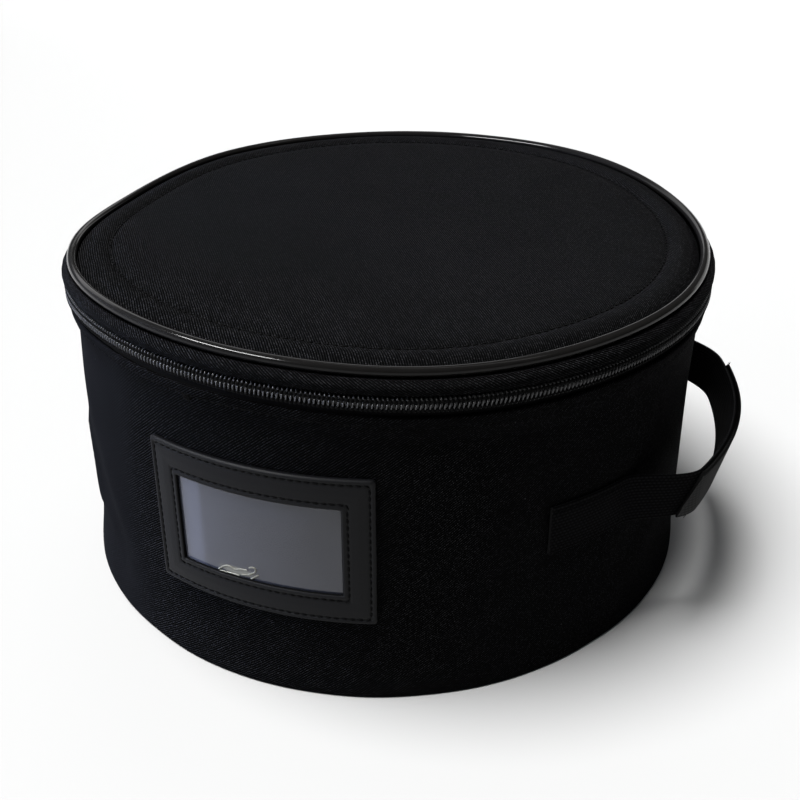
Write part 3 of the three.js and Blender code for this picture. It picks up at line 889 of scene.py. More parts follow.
def twill(cloth, painted_shading=False):
    """Black polyester twill for one of the cloths. Where asked, its ribs are painted out round its left
    side, standing in for the rib shade lost at a grazing view.
    """
    rib_pitch = 1.04 * MM
    floats_per_rib = 1.7
    row_shift = 0.37
    drift_reach = 1.1 * MM
    lint_reach = 0.034
    lint_rarity = 0.74
    painted_flat_middle = -190 * MM
    painted_flat_from = 96 * MM
    painted_flat_to = 132 * MM
    turn = math.radians(TWILL_TURNS[cloth])
    colours = bpy.context.scene.carrier_colours
    material, tree, shader, place = woven_material("twill_" + cloth)
    drift = vectors(tree, "SUBTRACT", noise(tree, place, per_metre=55.0, output="Color"), (0.5, 0.5, 0.5))
    bent = vectors(tree, "ADD", place, scaled(tree, drift, drift_reach))
    scale = (1 / rib_pitch,) * 3
    laid = add_node(tree, "ShaderNodeMapping", {"Vector": bent, "Rotation": (0, 0, turn), "Scale": scale})
    ribs = split(tree, laid.outputs[0])
    row = maths(tree, "FLOOR", ribs["X"])
    along = maths(tree, "MULTIPLY_ADD", ribs["Y"], floats_per_rib, times(tree, row, row_shift))
    yarn = spread(tree, rib(tree, along), 0.45, 1.0)
    height = times(tree, rib(tree, ribs["X"]), yarn)
    cell = joined(tree, X=row, Y=maths(tree, "FLOOR", along))
    chance = add_node(tree, "ShaderNodeTexWhiteNoise", {"Vector": cell}, noise_dimensions="2D")
    uneven = spread(tree, power(tree, chance.outputs["Value"], 3.0), 0.2, 0.9)
    patches = spread(tree, noise(tree, place, per_metre=38.0, detail=4.0), 0.7, 1.3)
    shade = times(tree, power(tree, height, 5.0), times(tree, patches, uneven))
    # Painted: round the left side the ribs give way to soft fuzz and the relief flattens, for the rib shade
    # lost at a grazing view
    if painted_shading:
        away = maths(tree, "ABSOLUTE", maths(tree, "SUBTRACT", split(tree, place)["X"], painted_flat_middle))
        side = falling(tree, away, painted_flat_from, painted_flat_to, high=0.85, low=0.0)
        fuzz = spread(tree, noise(tree, place, per_metre=750.0, detail=3.0), 0.01, 0.095)
        soft = times(tree, fuzz, patches)
        shade = maths(tree, "MULTIPLY_ADD", side, maths(tree, "SUBTRACT", soft, shade), shade)
        height = times(tree, height, spread(tree, side, 1.0, 0.0))
    dyed = mixed(tree, shade, rgba(colours.twill_valley), rgba(colours.twill_crest))
    cells = add_node(tree, "ShaderNodeTexVoronoi", {"Vector": place, "Scale": 115.0})
    picked = add_node(tree, "ShaderNodeSeparateColor", {0: cells.outputs["Color"]}).outputs
    near = maths(tree, "LESS_THAN", cells.outputs["Distance"], lint_reach)
    lint = times(tree, near, maths(tree, "GREATER_THAN", picked[0], lint_rarity))
    speck = times(tree, lint, power(tree, picked[1], 2.0))
    base = mixed(tree, speck, dyed, rgba(colours.lint))
    coat(tree, shader, base, roughness=spread(tree, height, 0.95, 0.7), gloss=0.006)
    bump(tree, shader, height, strength=0.8, depth=0.3 * MM)
    return material


def webbing(name, tint, painted_shading=False):
    """Ribbed webbing, woven along the strap. Where asked it is flatter, pale with painted light on its near
    outer face, and darkened to painted shade on its other faces and its far stretch.
    """
    rib_pitch = 1.7 * MM
    pick_pitch = 2.1 * MM
    valley = 0.55 if painted_shading else 0.1
    painted_shade_share = 0.15
    material, tree, shader, place = woven_material(name)
    run = split(tree, place)
    across = maths(tree, "DIVIDE", run["Y"], rib_pitch)
    row = maths(tree, "FLOOR", across)
    along = maths(tree, "MULTIPLY_ADD", row, 0.5, maths(tree, "DIVIDE", run["X"], pick_pitch))
    height = times(tree, rib(tree, across), spread(tree, rib(tree, along), 0.35, 1.0))
    fuzz = noise(tree, place, per_metre=900.0, detail=3.0)
    shade = times(tree, power(tree, height, 2.0), spread(tree, fuzz, 0.2, 1.9))
    base = mixed(tree, shade, rgba(tint, valley), rgba(tint))
    # Painted light and shade: the near outer face keeps the pale tint, the other faces and the far stretch
    # are darkened
    if painted_shading:
        width = bpy.context.scene.carrier_handle.width
        face = falling(tree, run["Y"], width - 2.5 * MM, width - 0.5 * MM, high=1.0, low=painted_shade_share)
        near = falling(tree, run["X"], start=30 * MM, end=60 * MM, high=1.0, low=painted_shade_share)
        base = scaled(tree, base, times(tree, face, near))
    coat(tree, shader, base, roughness=spread(tree, height, 0.95, 0.72), gloss=0.02)
    bump(tree, shader, maths(tree, "MULTIPLY_ADD", fuzz, 0.3, height), strength=0.6, depth=0.4 * MM)
    return material


def leatherette(name):
    """Grained leatherette with a dull gloss."""
    tint = bpy.context.scene.carrier_colours.leatherette
    material, tree, shader, place = solid_material(name)
    grain = add_node(tree, "ShaderNodeTexVoronoi", {"Vector": place, "Scale": 1100.0}).outputs["Distance"]
    pores = noise(tree, place, per_metre=2600.0, detail=3.0)
    clouds = noise(tree, place, per_metre=60.0, detail=4.0)
    base = mixed(tree, clouds, rgba(tint, 0.75), rgba(tint, 1.35))
    coat(tree, shader, base, roughness=spread(tree, clouds, 0.42, 0.62), gloss=0.1)
    bump(tree, shader, maths(tree, "MULTIPLY_ADD", pores, 0.35, grain), strength=0.3, depth=0.12 * MM)
    return material


def glossy(name, tint, roughness, relief, gloss):
    """Smooth black plastic or lacquer with faint handling marks."""
    material, tree, shader, place = solid_material(name)
    clouds = noise(tree, place, per_metre=140.0, detail=4.0)
    base = mixed(tree, clouds, rgba(tint), rgba(tint, 1.5))
    coat(tree, shader, base, roughness=spread(tree, clouds, roughness * 0.7, roughness * 1.4), gloss=gloss)
    bump(tree, shader, noise(tree, place, per_metre=700.0, detail=3.0), strength=relief, depth=0.1 * MM)
    return material


def woven_tape(name):
    """Zip tape with a fine herringbone weave."""
    tint = bpy.context.scene.carrier_colours.tape
    weave = 0.7 * MM
    stripe = 2.4 * MM
    material, tree, shader, place = woven_material(name)
    run = split(tree, place)
    up = maths(tree, "PINGPONG", run["Y"], stripe)
    height = rib(tree, maths(tree, "DIVIDE", maths(tree, "ADD", run["X"], up), weave))
    coat(tree, shader, mixed(tree, height, rgba(tint, 0.4), rgba(tint)), roughness=0.9, gloss=0.1)
    bump(tree, shader, height, strength=0.5, depth=0.2 * MM)
    return material


def sewing_thread(name):
    """Twisted black thread."""
    tint = bpy.context.scene.carrier_colours.thread
    material, tree, shader, place = solid_material(name)
    strands = noise(tree, place, per_metre=3200.0)
    coat(tree, shader, mixed(tree, strands, rgba(tint, 0.4), rgba(tint)), roughness=0.75, gloss=0.05)
    bump(tree, shader, strands, strength=0.4, depth=0.15 * MM)
    return material


def clear_film(name):
    """Clear film, faintly misted and a little scuffed, with a painted reflection bright along its left side
    and fading towards the right, and a cream patch round its creases.
    """
    colours = bpy.context.scene.carrier_colours
    left_reflection = 1.9
    reflection_slope = -4.0  # change of the painted reflection for each metre to the right
    cream_patch_middle = (-10.8 * MM, 0.0, 62.4 * MM)
    cream_patch_scale = (1 / (10.5 * MM), 0.0, 1 / (2.8 * MM))
    material, tree, shader, place = solid_material(name)
    across = split(tree, place)["X"]
    # Painted reflection: a bright band along the left side, and less brightness further to the right
    side = falling(tree, across, start=-31 * MM, end=-26 * MM, high=left_reflection, low=1.0)
    scuffs = spread(tree, noise(tree, place, per_metre=70.0, detail=4.0), 0.85, 1.15)
    haze_and_reflection = times(tree, side, maths(tree, "MULTIPLY_ADD", across, reflection_slope, scuffs))
    haze_and_reflection_colour = mixed(tree, times(tree, haze_and_reflection, 0.5), rgba(BLACK), rgba(colours.film, 2.0))
    # Cream patch round the creases
    away = vectors(tree, "MULTIPLY", vectors(tree, "SUBTRACT", place, cream_patch_middle), cream_patch_scale)
    away = add_node(tree, "ShaderNodeVectorMath", {0: away}, operation="LENGTH").outputs["Value"]
    cream_patch = falling(tree, away, start=0.45, end=1.1, high=0.8, low=0.0)
    coat(tree, shader, mixed(tree, cream_patch, haze_and_reflection_colour, rgba(colours.crease, 0.85)), roughness=0.08, gloss=0.65)
    fill(tree, shader, {"Alpha": 0.85})
    return material


def film_crease(name):
    """Cream lines along the creases in the film."""
    tint = bpy.context.scene.carrier_colours.crease
    material, tree, shader, place = solid_material(name)
    streaks = noise(tree, place, per_metre=900.0, detail=3.0)
    coat(tree, shader, mixed(tree, streaks, rgba(tint, 0.35), rgba(tint)), roughness=0.3)
    bump(tree, shader, streaks, strength=0.4, depth=0.2 * MM)
    return material


def pale_floor(name):
    """Plain pale studio floor."""
    tint = bpy.context.scene.carrier_colours.floor
    material, tree, shader, place = solid_material(name)
    clouds = noise(tree, place, per_metre=3.0)
    coat(tree, shader, mixed(tree, clouds, rgba(tint, 0.985), rgba(tint)), roughness=0.6)
    return material


def pale_backdrop(name):
    """Lit pale backdrop of the studio."""
    glow = 0.83  # as bright as the far floor
    material, tree, shader = new_material(name)
    coat(tree, shader, rgba(BLACK), roughness=0.5, gloss=0.0)
    fill(tree, shader, {"Emission Color": rgba(WHITE), "Emission Strength": glow})
    return material


# Pieces


class CARRIER_OT_side_wall(bpy.types.Operator):
    """Make the drum's wall of twill, with its hem, foot, folds and stitch groove"""

    bl_idname = "carrier.side_wall"
    bl_label = "Side wall"

    def execute(self, context):
        drum = context.scene.carrier_drum
        mesh = turned("side_wall_cloth", self.section(drum), self.place)
        wall = add_piece("side_wall_cloth", mesh, twill("wall", painted_shading=True), ("side_wall",))
        return {"FINISHED"}

    def section(self, drum):
        rounding = drum.foot_rounding
        foot = arc((wall_outer(0.0) - rounding, rounding), rounding, -math.pi / 2, 0, 6)
        hem = drum.wall_thickness / 2
        heights = np.concatenate((
            np.linspace(rounding, drum.foot_flare_height, 9)[1:],
            np.linspace(drum.foot_flare_height, drum.rim_flare_start, 36)[1:],
            np.linspace(drum.rim_flare_start, drum.wall_top - hem, 32)[1:],
        ))
        groove = drum.stitch_groove * bell(heights - drum.topstitch_height, GROOVE_WIDTH)
        outside = np.stack((wall_outer(heights) - groove, heights), axis=-1)
        top = arc((wall_outer(drum.wall_top) - hem, drum.wall_top - hem), hem, 0, math.pi, 9)[1:]
        down = np.linspace(drum.wall_top - hem, 0, 18)[1:]
        inside = np.stack((wall_outer(down) - drum.wall_thickness, down), axis=-1)
        return np.concatenate((foot, outside, top, inside))

    def place(self, azimuth, radius, height):
        return soften(azimuth, radius + wall_ripple(azimuth, height), height)


class CARRIER_OT_base_panel(bpy.types.Operator):
    """Make the base panel of twill"""

    bl_idname = "carrier.base_panel"
    bl_label = "Base panel"

    def execute(self, context):
        drum = context.scene.carrier_drum
        edge = wall_outer(0.0) - drum.wall_thickness - drum.gap
        soft = 0.8 * MM
        under = [(share * (edge - soft), 0.0) for share in np.linspace(0, 1, 24)]
        rim = [(edge, soft), (edge, drum.base_thickness - soft)]
        over = [(radius, drum.base_thickness) for radius, _ in reversed(under)]
        mesh = turned("base_cloth", under + rim + over, flat=True)
        base = add_piece("base_cloth", mesh, twill("base"), ("base_panel",))
        return {"FINISHED"}


class CARRIER_OT_lid_panel(bpy.types.Operator):
    """Make the lid's panel of twill, with its sewn ring and soft rim"""

    bl_idname = "carrier.lid_panel"
    bl_label = "Lid panel"

    def execute(self, context):
        lid = context.scene.carrier_lid
        edge = LID_ROWS[-1].at * MM
        top = np.concatenate((np.linspace(edge, LID_FIELD, 70), np.linspace(LID_FIELD, 0, 20)[1:]))
        under = np.concatenate((np.linspace(0, LID_FIELD, 8), np.linspace(LID_FIELD, edge, 8)[1:]))
        over = np.stack((top, self.height(lid, top)), axis=-1)
        below = np.stack((under, self.height(lid, under) - lid.panel_thickness), axis=-1)
        mesh = turned("lid_cloth", np.concatenate((below, over)), on_lid, flat=True)
        panel = add_piece("lid_cloth", mesh, twill("lid"), ("lid_panel",))
        return {"FINISHED"}

    def height(self, lid, radius):
        groove_depth = 0.5 * MM
        groove_width = 1.1 * MM
        groove = groove_depth * bell(radius - lid.ring_radius, groove_width)
        return lid.piping_height + lid_rise(radius) - groove


class CARRIER_OT_lid_piping(bpy.types.Operator):
    """Make the glossy piping round the lid"""

    bl_idname = "carrier.lid_piping"
    bl_label = "Lid piping"

    def execute(self, context):
        lid = context.scene.carrier_lid
        tint = context.scene.carrier_colours.piping
        middle = (lid.piping_radius, lid.piping_height)
        section = arc(middle, lid.piping_diameter / 2, 0, 2 * math.pi, 21)[:-1]
        finish = glossy("piping_pvc", tint, roughness=0.11, relief=0.05, gloss=0.15)
        mesh = turned("lid_piping_cord", section)
        add_piece("lid_piping_cord", mesh, finish, ("lid_piping",))
        return {"FINISHED"}


class CARRIER_OT_lid_band(bpy.types.Operator):
    """Make the lid's band of twill between the zip and the piping"""

    bl_idname = "carrier.lid_band"
    bl_label = "Lid band"

    def execute(self, context):
        drum = context.scene.carrier_drum
        lid = context.scene.carrier_lid
        zipper = context.scene.carrier_zip
        soft = 0.5 * MM
        foot = zipper.height + zipper.chain_width / 2 + lid.band_clearance
        top = lid.piping_height - lid.piping_diameter / 2 - drum.gap
        share = np.linspace(0, 1, 22)
        stand = eased(share, BAND_ROWS, BAND_EASE) * MM
        outside = np.stack((drum.wall_radius + stand, foot + share * (top - foot)), axis=-1)
        hem = outside[:1] - (soft, soft / 2)
        inside = outside[::-3] - (drum.wall_thickness, 0.0)
        mesh = turned("lid_band_cloth", np.concatenate((hem, outside, inside)), self.place)
        band = add_piece("lid_band_cloth", mesh, twill("band"), ("lid_band",))
        return {"FINISHED"}

    def place(self, azimuth, radius, height):
        return soften(azimuth, radius + rippled(azimuth, BAND_GATHERS), height)


class CARRIER_OT_hinge_strip(bpy.types.Operator):
    """Make the cloth hinge between the ends of the zip"""

    bl_idname = "carrier.hinge_strip"
    bl_label = "Hinge strip"

    def execute(self, context):
        drum = context.scene.carrier_drum
        zipper = context.scene.carrier_zip
        lid = context.scene.carrier_lid
        inner = float(coil_inner())
        low = drum.wall_top + drum.gap
        high = zipper.height + zipper.chain_width / 2 + lid.band_clearance - drum.gap
        half = (high - low) / 2
        loop = ring_loop(inner, inner + drum.wall_thickness, half, steps=(3, 10, 4)) + (0.0, low + half)
        seam = drum.gap / inner
        stations = np.linspace(zipper.end + seam, 2 * math.pi - zipper.end - seam, 90)
        mesh = swept("hinge_cloth", stations, loop, soften)
        strip = add_piece("hinge_cloth", mesh, twill("hinge"), ("hinge_strip",))
        return {"FINISHED"}


class CARRIER_OT_zip_tapes(bpy.types.Operator):
    """Make the upper and lower tapes of the zip"""

    bl_idname = "carrier.zip_tapes"
    bl_label = "Zip tapes"

    def execute(self, context):
        drum = context.scene.carrier_drum
        zipper = context.scene.carrier_zip
        outer = float(coil_inner()) - drum.gap
        finish = woven_tape("zip_tape")
        low = zipper.height + drum.gap / 2
        high = zipper.height - drum.gap / 2
        upper = [(outer, low), (outer, low + zipper.tape_upper)]
        lower = [
            (float(wall_outer(height)) - drum.wall_thickness - drum.gap, height)
            for height in np.linspace(high - zipper.tape_lower, drum.wall_top, 6)
        ]
        lower.append((outer, high))
        for name, outside in (("zip_tape_upper", upper), ("zip_tape_lower", lower)):
            inside = [(radius - zipper.tape_thickness, height) for radius, height in reversed(outside)]
            mesh = turned(name + "_weave", outside + inside)
            add_piece(name + "_weave", mesh, finish, (name,))
        return {"FINISHED"}


class CARRIER_OT_zip_coils(bpy.types.Operator):
    """Wind the two halves of the zip's nylon coil, their heads between each other"""

    bl_idname = "carrier.zip_coils"
    bl_label = "Zip coils"

    def execute(self, context):
        zipper = context.scene.carrier_zip
        tint = context.scene.carrier_colours.nylon
        inner = float(coil_inner())
        finish = glossy("zip_nylon", tint, roughness=0.3, relief=0.04, gloss=0.3)
        last = zipper.end - (zipper.slider_length + context.scene.carrier_drum.gap) / inner
        azimuth = np.linspace(-zipper.end, last, 400)
        path = soften(azimuth, inner, zipper.height)
        half_wire = zipper.wire / 2
        inputs = {
            "Turns": int(run_lengths(path)[-1] / zipper.pitch),
            "Steps": 12,
            "Wire": zipper.wire,
            "Edge Reach": zipper.chain_width / 2 - half_wire,
            "Head Reach": zipper.head_reach - half_wire / 2,
            "Front": zipper.chain_depth - half_wire,
            "Back": half_wire,
        }
        halves = (
            ("zip_coil_upper", (1.0, 0.0, 0.6, 0.0, 0.4)),
            ("zip_coil_lower", (-1.0, 0.5, 0.0, 0.6, 0.0)),
        )
        for name, lie in halves:
            own = dict(zip(COIL_LIES, lie))
            grow_piece(name + "_wire", coil_tree, [path], {**inputs, **own}, finish, (name,))
        self.sew(context, azimuth, inner)
        return {"FINISHED"}

    def sew(self, context, azimuth, inner):
        zipper = context.scene.carrier_zip
        finish = sewing_thread("zip_thread")
        inputs = {
            "Pitch": zipper.pitch,
            "Stitch Length": 1.15 * zipper.pitch,
            "Thread": zipper.sewing_thread,
            "Wander": math.radians(4),
        }
        stand = zipper.chain_depth - zipper.sewing_thread / 2
        for seed, (name, side) in enumerate((("zip_sewing_upper", 1), ("zip_sewing_lower", -1))):
            path = soften(azimuth, inner + stand, zipper.height + side * zipper.sewing_offset)
            grow_piece(name, stitch_tree, [path], {**inputs, "Seed": seed}, finish)


class CARRIER_OT_zip_slider(bpy.types.Operator):
    """Make the slider and its pull at the end of the zip"""

    bl_idname = "carrier.zip_slider"
    bl_label = "Zip slider"

    def execute(self, context):
        zipper = context.scene.carrier_zip
        tint = context.scene.carrier_colours.metal
        metal = glossy("slider_metal", tint, roughness=0.35, relief=0.06, gloss=0.5)
        inner = float(coil_inner())
        azimuth = zipper.end - zipper.slider_length / 2 / inner
        low = zipper.height - zipper.slider_height / 2 + context.scene.carrier_lid.band_clearance
        body = self.body(zipper, inner, azimuth, low)
        add_piece("zip_slider_body", body, metal, ("zip_slider",))
        add_piece("zip_slider_pull", self.pull(zipper, inner, azimuth, low), metal)
        return {"FINISHED"}

    def body(self, zipper, inner, azimuth, low):
        corner = 1.2 * MM
        squareness = 6
        least_depth = 0.08
        end_height = 0.72  # share of the height that is left at the ends
        reach = zipper.slider_length / 2
        half = (zipper.height + zipper.chain_width / 2 - low) / 2
        depth = zipper.slider_depth / 2
        middle = (inner + depth, low + half)
        loop = rounded_rectangle(depth, half, corner, steps=(4, 8, 5))
        stations = np.sin(np.linspace(-math.pi / 2, math.pi / 2, 25)) * reach

        def place(station, out, up):
            pinch = np.sqrt(np.clip(1 - (np.abs(station) / reach) ** squareness, least_depth, 1))
            squeeze = end_height + (1 - end_height) * pinch
            return soften(azimuth + station / inner, middle[0] + out * pinch, middle[1] + up * squeeze)

        return swept("zip_slider_body", stations, loop, place)

    def pull(self, zipper, inner, azimuth, low):
        lap = 2 * MM  # how far the pull reaches up over the slider's foot
        least_width = 0.05
        thick = zipper.pull_thickness / 2
        wide = zipper.pull_width / 2
        middle = inner + zipper.slider_depth - thick
        loop = rounded_rectangle(thick, wide, thick * 0.8, steps=(3, 8, 4))
        stations = np.linspace(low + lap - zipper.pull_length, low + lap, 40)

        def place(station, out, across):
            ends = np.minimum(station - stations[0], stations[-1] - station) / wide
            taper = np.sqrt(np.clip(1 - (1 - np.clip(ends, 0, 1)) ** 2, least_width, 1))
            return soften(azimuth - across * taper / inner, middle + out, station)

        return swept("zip_slider_pull", stations, loop, place)


class CARRIER_OT_window_frame(bpy.types.Operator):
    """Make the leatherette frame of the card window, with its grooves for the stitches"""

    bl_idname = "carrier.window_frame"
    bl_label = "Window frame"

    def execute(self, context):
        gap = context.scene.carrier_drum.gap
        recess = gap + context.scene.carrier_window.film_thickness + gap
        plain_from = 0.3  # shares between the two grooves, where fewer steps do
        plain_to = 0.7
        share = np.concatenate((
            np.linspace(0, plain_from, 34),
            np.linspace(plain_from, plain_to, 10)[1:-1],
            np.linspace(plain_to, 1, 34),
        ))
        face = list(zip(share, frame_rise(share) + gap))
        back = [(1.0, recess), (0.55, recess), (0.5, gap), (0.0, gap)]
        points = np.stack([on_window(*frame_outline(at).T, height) for at, height in face + back], axis=1)
        uv = uv_grid(closed_lengths(frame_outline(0.0)), closed_lengths(points[0]))
        mesh = grid_mesh("window_frame_skin", points, uv, close_rows=True, close_columns=True)
        mesh.materials.append(leatherette("leatherette"))
        mesh.materials.append(sewing_thread("opening_edge"))
        finish = np.zeros(points.shape[1], int)
        finish[len(share) - 3:len(share) + 1] = 1  # the darker faces round the opening
        mesh.polygons.foreach_set("material_index", np.tile(finish, len(points)))
        add_piece("window_frame_skin", mesh, mesh.materials[0], ("window_frame",))
        return {"FINISHED"}


class CARRIER_OT_window_film(bpy.types.Operator):
    """Make the clear film of the card window, slack and creased in one place"""

    bl_idname = "carrier.window_film"
    bl_label = "Window film"

    def execute(self, context):
        window = context.scene.carrier_window
        gap = context.scene.carrier_drum.gap
        half = window.film_thickness / 2
        loop = rounded_rectangle(half, window.film_height / 2, half * 0.8, steps=(2, 90, 3))
        stations = np.linspace(-window.film_width / 2, window.film_width / 2, 150)
        mesh = swept("window_film_sheet", stations, loop + (gap + half, 0.0), self.place)
        add_piece("window_film_sheet", mesh, clear_film("clear_film"), ("window_film",))
        lines = [self.crease(gap + window.film_thickness, np.array(points) * MM) for points in CREASES]
        finish = film_crease("film_crease")
        grow_piece("window_film_creases", thread_tree, lines, {"Thread": 0.8 * MM}, finish)
        return {"FINISHED"}

    def crease(self, stand, points):
        share = np.linspace(0, len(points) - 1, 8 * len(points))
        knots = np.arange(len(points))
        blur = np.linspace(-0.45, 0.45, 7)

        def smooth(column):
            return np.mean([np.interp(share + step, knots, column) for step in blur], axis=0)

        return self.place(smooth(points[:, 0]), np.full(len(share), stand), smooth(points[:, 1]))

    def place(self, across, out, up):
        window = bpy.context.scene.carrier_window
        bulge = 0.3 * MM
        wave_depth = 0.35 * MM
        waves_across = 52  # radians per metre
        waves_up = 70
        waves = wave_depth * np.sin(waves_across * across + 0.7) * np.sin(waves_up * up + 0.4)
        reach = np.maximum(np.abs(across) / window.opening_width, np.abs(up) / window.opening_height)
        free = smoothstep(1 - 2 * reach, 0.0, 0.5)
        return on_window(across, up, out + free * (bulge + waves))


class CARRIER_OT_handle(bpy.types.Operator):
    """Make the handle's strap, its sealed ends and the grip's second layer of webbing"""

    bl_idname = "carrier.handle"
    bl_label = "Handle"

    def execute(self, context):
        handle = context.scene.carrier_handle
        colours = context.scene.carrier_colours
        steps_per_degree = 5
        grip_low = handle.thickness + context.scene.carrier_drum.gap
        grip_high = grip_low + handle.grip_thickness
        strap_run = (handle.start, handle.end)
        grip_run = (handle.grip_start, handle.grip_end)
        layers = (
            ("handle_strap", (0.0, handle.thickness), strap_run, colours.webbing),
            ("handle_grip", (grip_low, grip_high), grip_run, colours.grip),
        )
        for node, (low, high), (start, end), tint in layers:
            name = node + "_webbing"
            finish = webbing(name, tint, painted_shading=node == "handle_grip")
            loop = ring_loop(low, high, handle.width / 2, steps=(3, 40, 5))
            stations = np.linspace(start, end, int(math.degrees(end - start) * steps_per_degree))
            add_piece(name, swept(name, stations, loop, self.place), finish, (node,))
        self.seal(handle, colours)
        return {"FINISHED"}

    def seal(self, handle, colours):
        finish = glossy("sealed_end", colours.sealed, roughness=0.5, relief=0.3, gloss=0.03)
        lip_out = 0.6 * handle.thickness
        inputs = {"Thread": 0.7 * handle.thickness}
        edge = np.linspace(-handle.width / 2, handle.width / 2, 24)
        lips = [self.place(np.full(len(edge), end), lip_out, edge) for end in (handle.start, handle.end)]
        grow_piece("handle_strap_ends", thread_tree, lips, inputs, finish)

    def place(self, azimuth, out, up):
        handle = bpy.context.scene.carrier_handle
        slant_run = math.radians(9)
        groove_depth = 0.25 * MM
        waver = 0.12 * MM
        wavers_around = 23
        step = 0.1 * MM
        sewn = 1 - loop_share(azimuth)
        rows = handle.width / 2 - handle.stitch_inset
        outer = smoothstep(out, handle.thickness * 0.5, handle.thickness)
        groove = groove_depth * bell(np.abs(up) - rows, GROOVE_WIDTH) * sewn * outer
        uneven = waver * np.sin(wavers_around * azimuth) * (1 - sewn)
        near_end = 1 - smoothstep(azimuth, handle.grip_start, handle.grip_start + slant_run)
        slant = handle.grip_slant * near_end * up * 2 / handle.width
        on_grip = smoothstep(out, handle.thickness, handle.thickness + step)
        return on_strap(azimuth + slant * on_grip, out - groove, up + uneven)


class CARRIER_OT_stitches(bpy.types.Operator):
    """Sew the stitch rows of the wall, the lid, the window and the strap"""

    bl_idname = "carrier.stitches"
    bl_label = "Stitches"

    def execute(self, context):
        finish = sewing_thread("thread")
        sizes = context.scene.carrier_stitch
        thin = sizes.thread
        thick = sizes.frame_thread
        inputs = {"Pitch": sizes.pitch, "Stitch Length": sizes.length, "Wander": math.radians(5)}
        rows = (
            ("wall_topstitch", self.wall_row(context), "twill", thin),
            ("lid_ring_stitches", self.lid_row(context), "twill", thick),
            ("window_outer_stitches", self.window_row(context, OUTER_GROOVE), "leatherette", thick),
            ("window_inner_stitches", self.window_row(context, INNER_GROOVE), "leatherette", thick),
            ("strap_near_stitches", self.strap_box(context, near=True), "webbing", thin),
            ("strap_far_stitches", self.strap_box(context, near=False), "webbing", thin),
        )
        for seed, (name, path, slot, thread) in enumerate(rows):
            own = {"Seed": seed, "Thread": thread}
            grow_piece(name, stitch_tree, [path], {**inputs, **own}, finish, closed=True)
        return {"FINISHED"}

    def wall_row(self, context):
        drum = context.scene.carrier_drum
        azimuth = np.linspace(-math.pi, math.pi, ROW_STEPS, endpoint=False)
        sunk = 0.7 * drum.stitch_groove
        radius = wall_outer(drum.topstitch_height) - sunk + wall_ripple(azimuth, drum.topstitch_height)
        return soften(azimuth, radius, drum.topstitch_height)

    def lid_row(self, context):
        lid = context.scene.carrier_lid
        azimuth = np.linspace(-math.pi, math.pi, ROW_STEPS, endpoint=False)
        sunk = 0.3 * MM
        height = lid.piping_height + float(lid_rise(lid.ring_radius)) - sunk
        return on_lid(azimuth, np.array(lid.ring_radius), height)

    def window_row(self, context, share):
        raised = 0.1 * MM
        height = context.scene.carrier_drum.gap + float(frame_rise(share)) + raised
        return on_window(*frame_outline(share).T, height)

    def strap_box(self, context, near):
        handle = context.scene.carrier_handle
        radius = context.scene.carrier_drum.wall_radius
        corner = 0.6 * MM
        sunk = 0.02 * MM
        inset = handle.stitch_inset / radius
        if near:
            low, high = handle.start + inset, handle.loop_start - inset / 3
        else:
            low, high = handle.loop_end + inset / 3, handle.end - inset
        half_turn = (high - low) / 2
        half_width = handle.width / 2 - handle.stitch_inset
        loop = rounded_rectangle(half_turn * radius, half_width, corner, steps=(24, 24, 3))
        azimuth = low + half_turn + loop[:, 0] / radius
        return on_strap(azimuth, np.full(len(loop), handle.thickness - sunk), loop[:, 1])


class CARRIER_OT_loose_threads(bpy.types.Operator):
    """Add the knot of thread under the zip and the frayed corners of the grip"""

    bl_idname = "carrier.loose_threads"
    bl_label = "Loose threads"

    def execute(self, context):
        finish = bpy.data.materials["thread"]
        thread = context.scene.carrier_stitch.thread
        sewn = {"Thread": thread}
        frayed = {"Thread": 0.4 * thread}
        grow_piece("thread_knot", thread_tree, [self.knot(context)], sewn, finish)
        grow_piece("grip_fray", thread_tree, self.fray(context), frayed, finish)
        return {"FINISHED"}

    def knot(self, context):
        drum = context.scene.carrier_drum
        azimuth = math.radians(-10.4)
        height = drum.topstitch_height - 1.2 * MM
        turn = np.linspace(0, 6 * math.pi, 120)
        across = (1.5 * np.sin(turn) + 0.7 * np.sin(2.3 * turn + 1)) * MM
        up = (1.7 * np.cos(1.3 * turn) + 0.6 * np.sin(3.1 * turn)) * MM
        out = (0.45 + 0.35 * np.sin(2.1 * turn)) * MM
        return soften(azimuth + across / drum.wall_radius, wall_outer(height + up) + out, height + up)

    def fray(self, context):
        drum = context.scene.carrier_drum
        handle = context.scene.carrier_handle
        fibres = 9
        low = handle.thickness + drum.gap
        share = np.linspace(0, 1, 5)
        draw = np.random.default_rng(7)
        paths = []
        for end, side in ((handle.grip_end, 1), (handle.grip_start, -1)):
            for _ in range(fibres):
                out = low + handle.grip_thickness * draw.uniform(0.2, 0.95)
                up = side * handle.width / 2 * draw.uniform(0.86, 0.98)
                reach = draw.uniform(0.6, 1.8) * MM
                stray = draw.uniform(-0.5, 0.9)
                lift = draw.uniform(0, 0.5)
                azimuth = end + side * share * reach * stray / drum.wall_radius
                paths.append(on_strap(azimuth, out + share * reach * lift, up + side * share**1.3 * reach))
        return paths


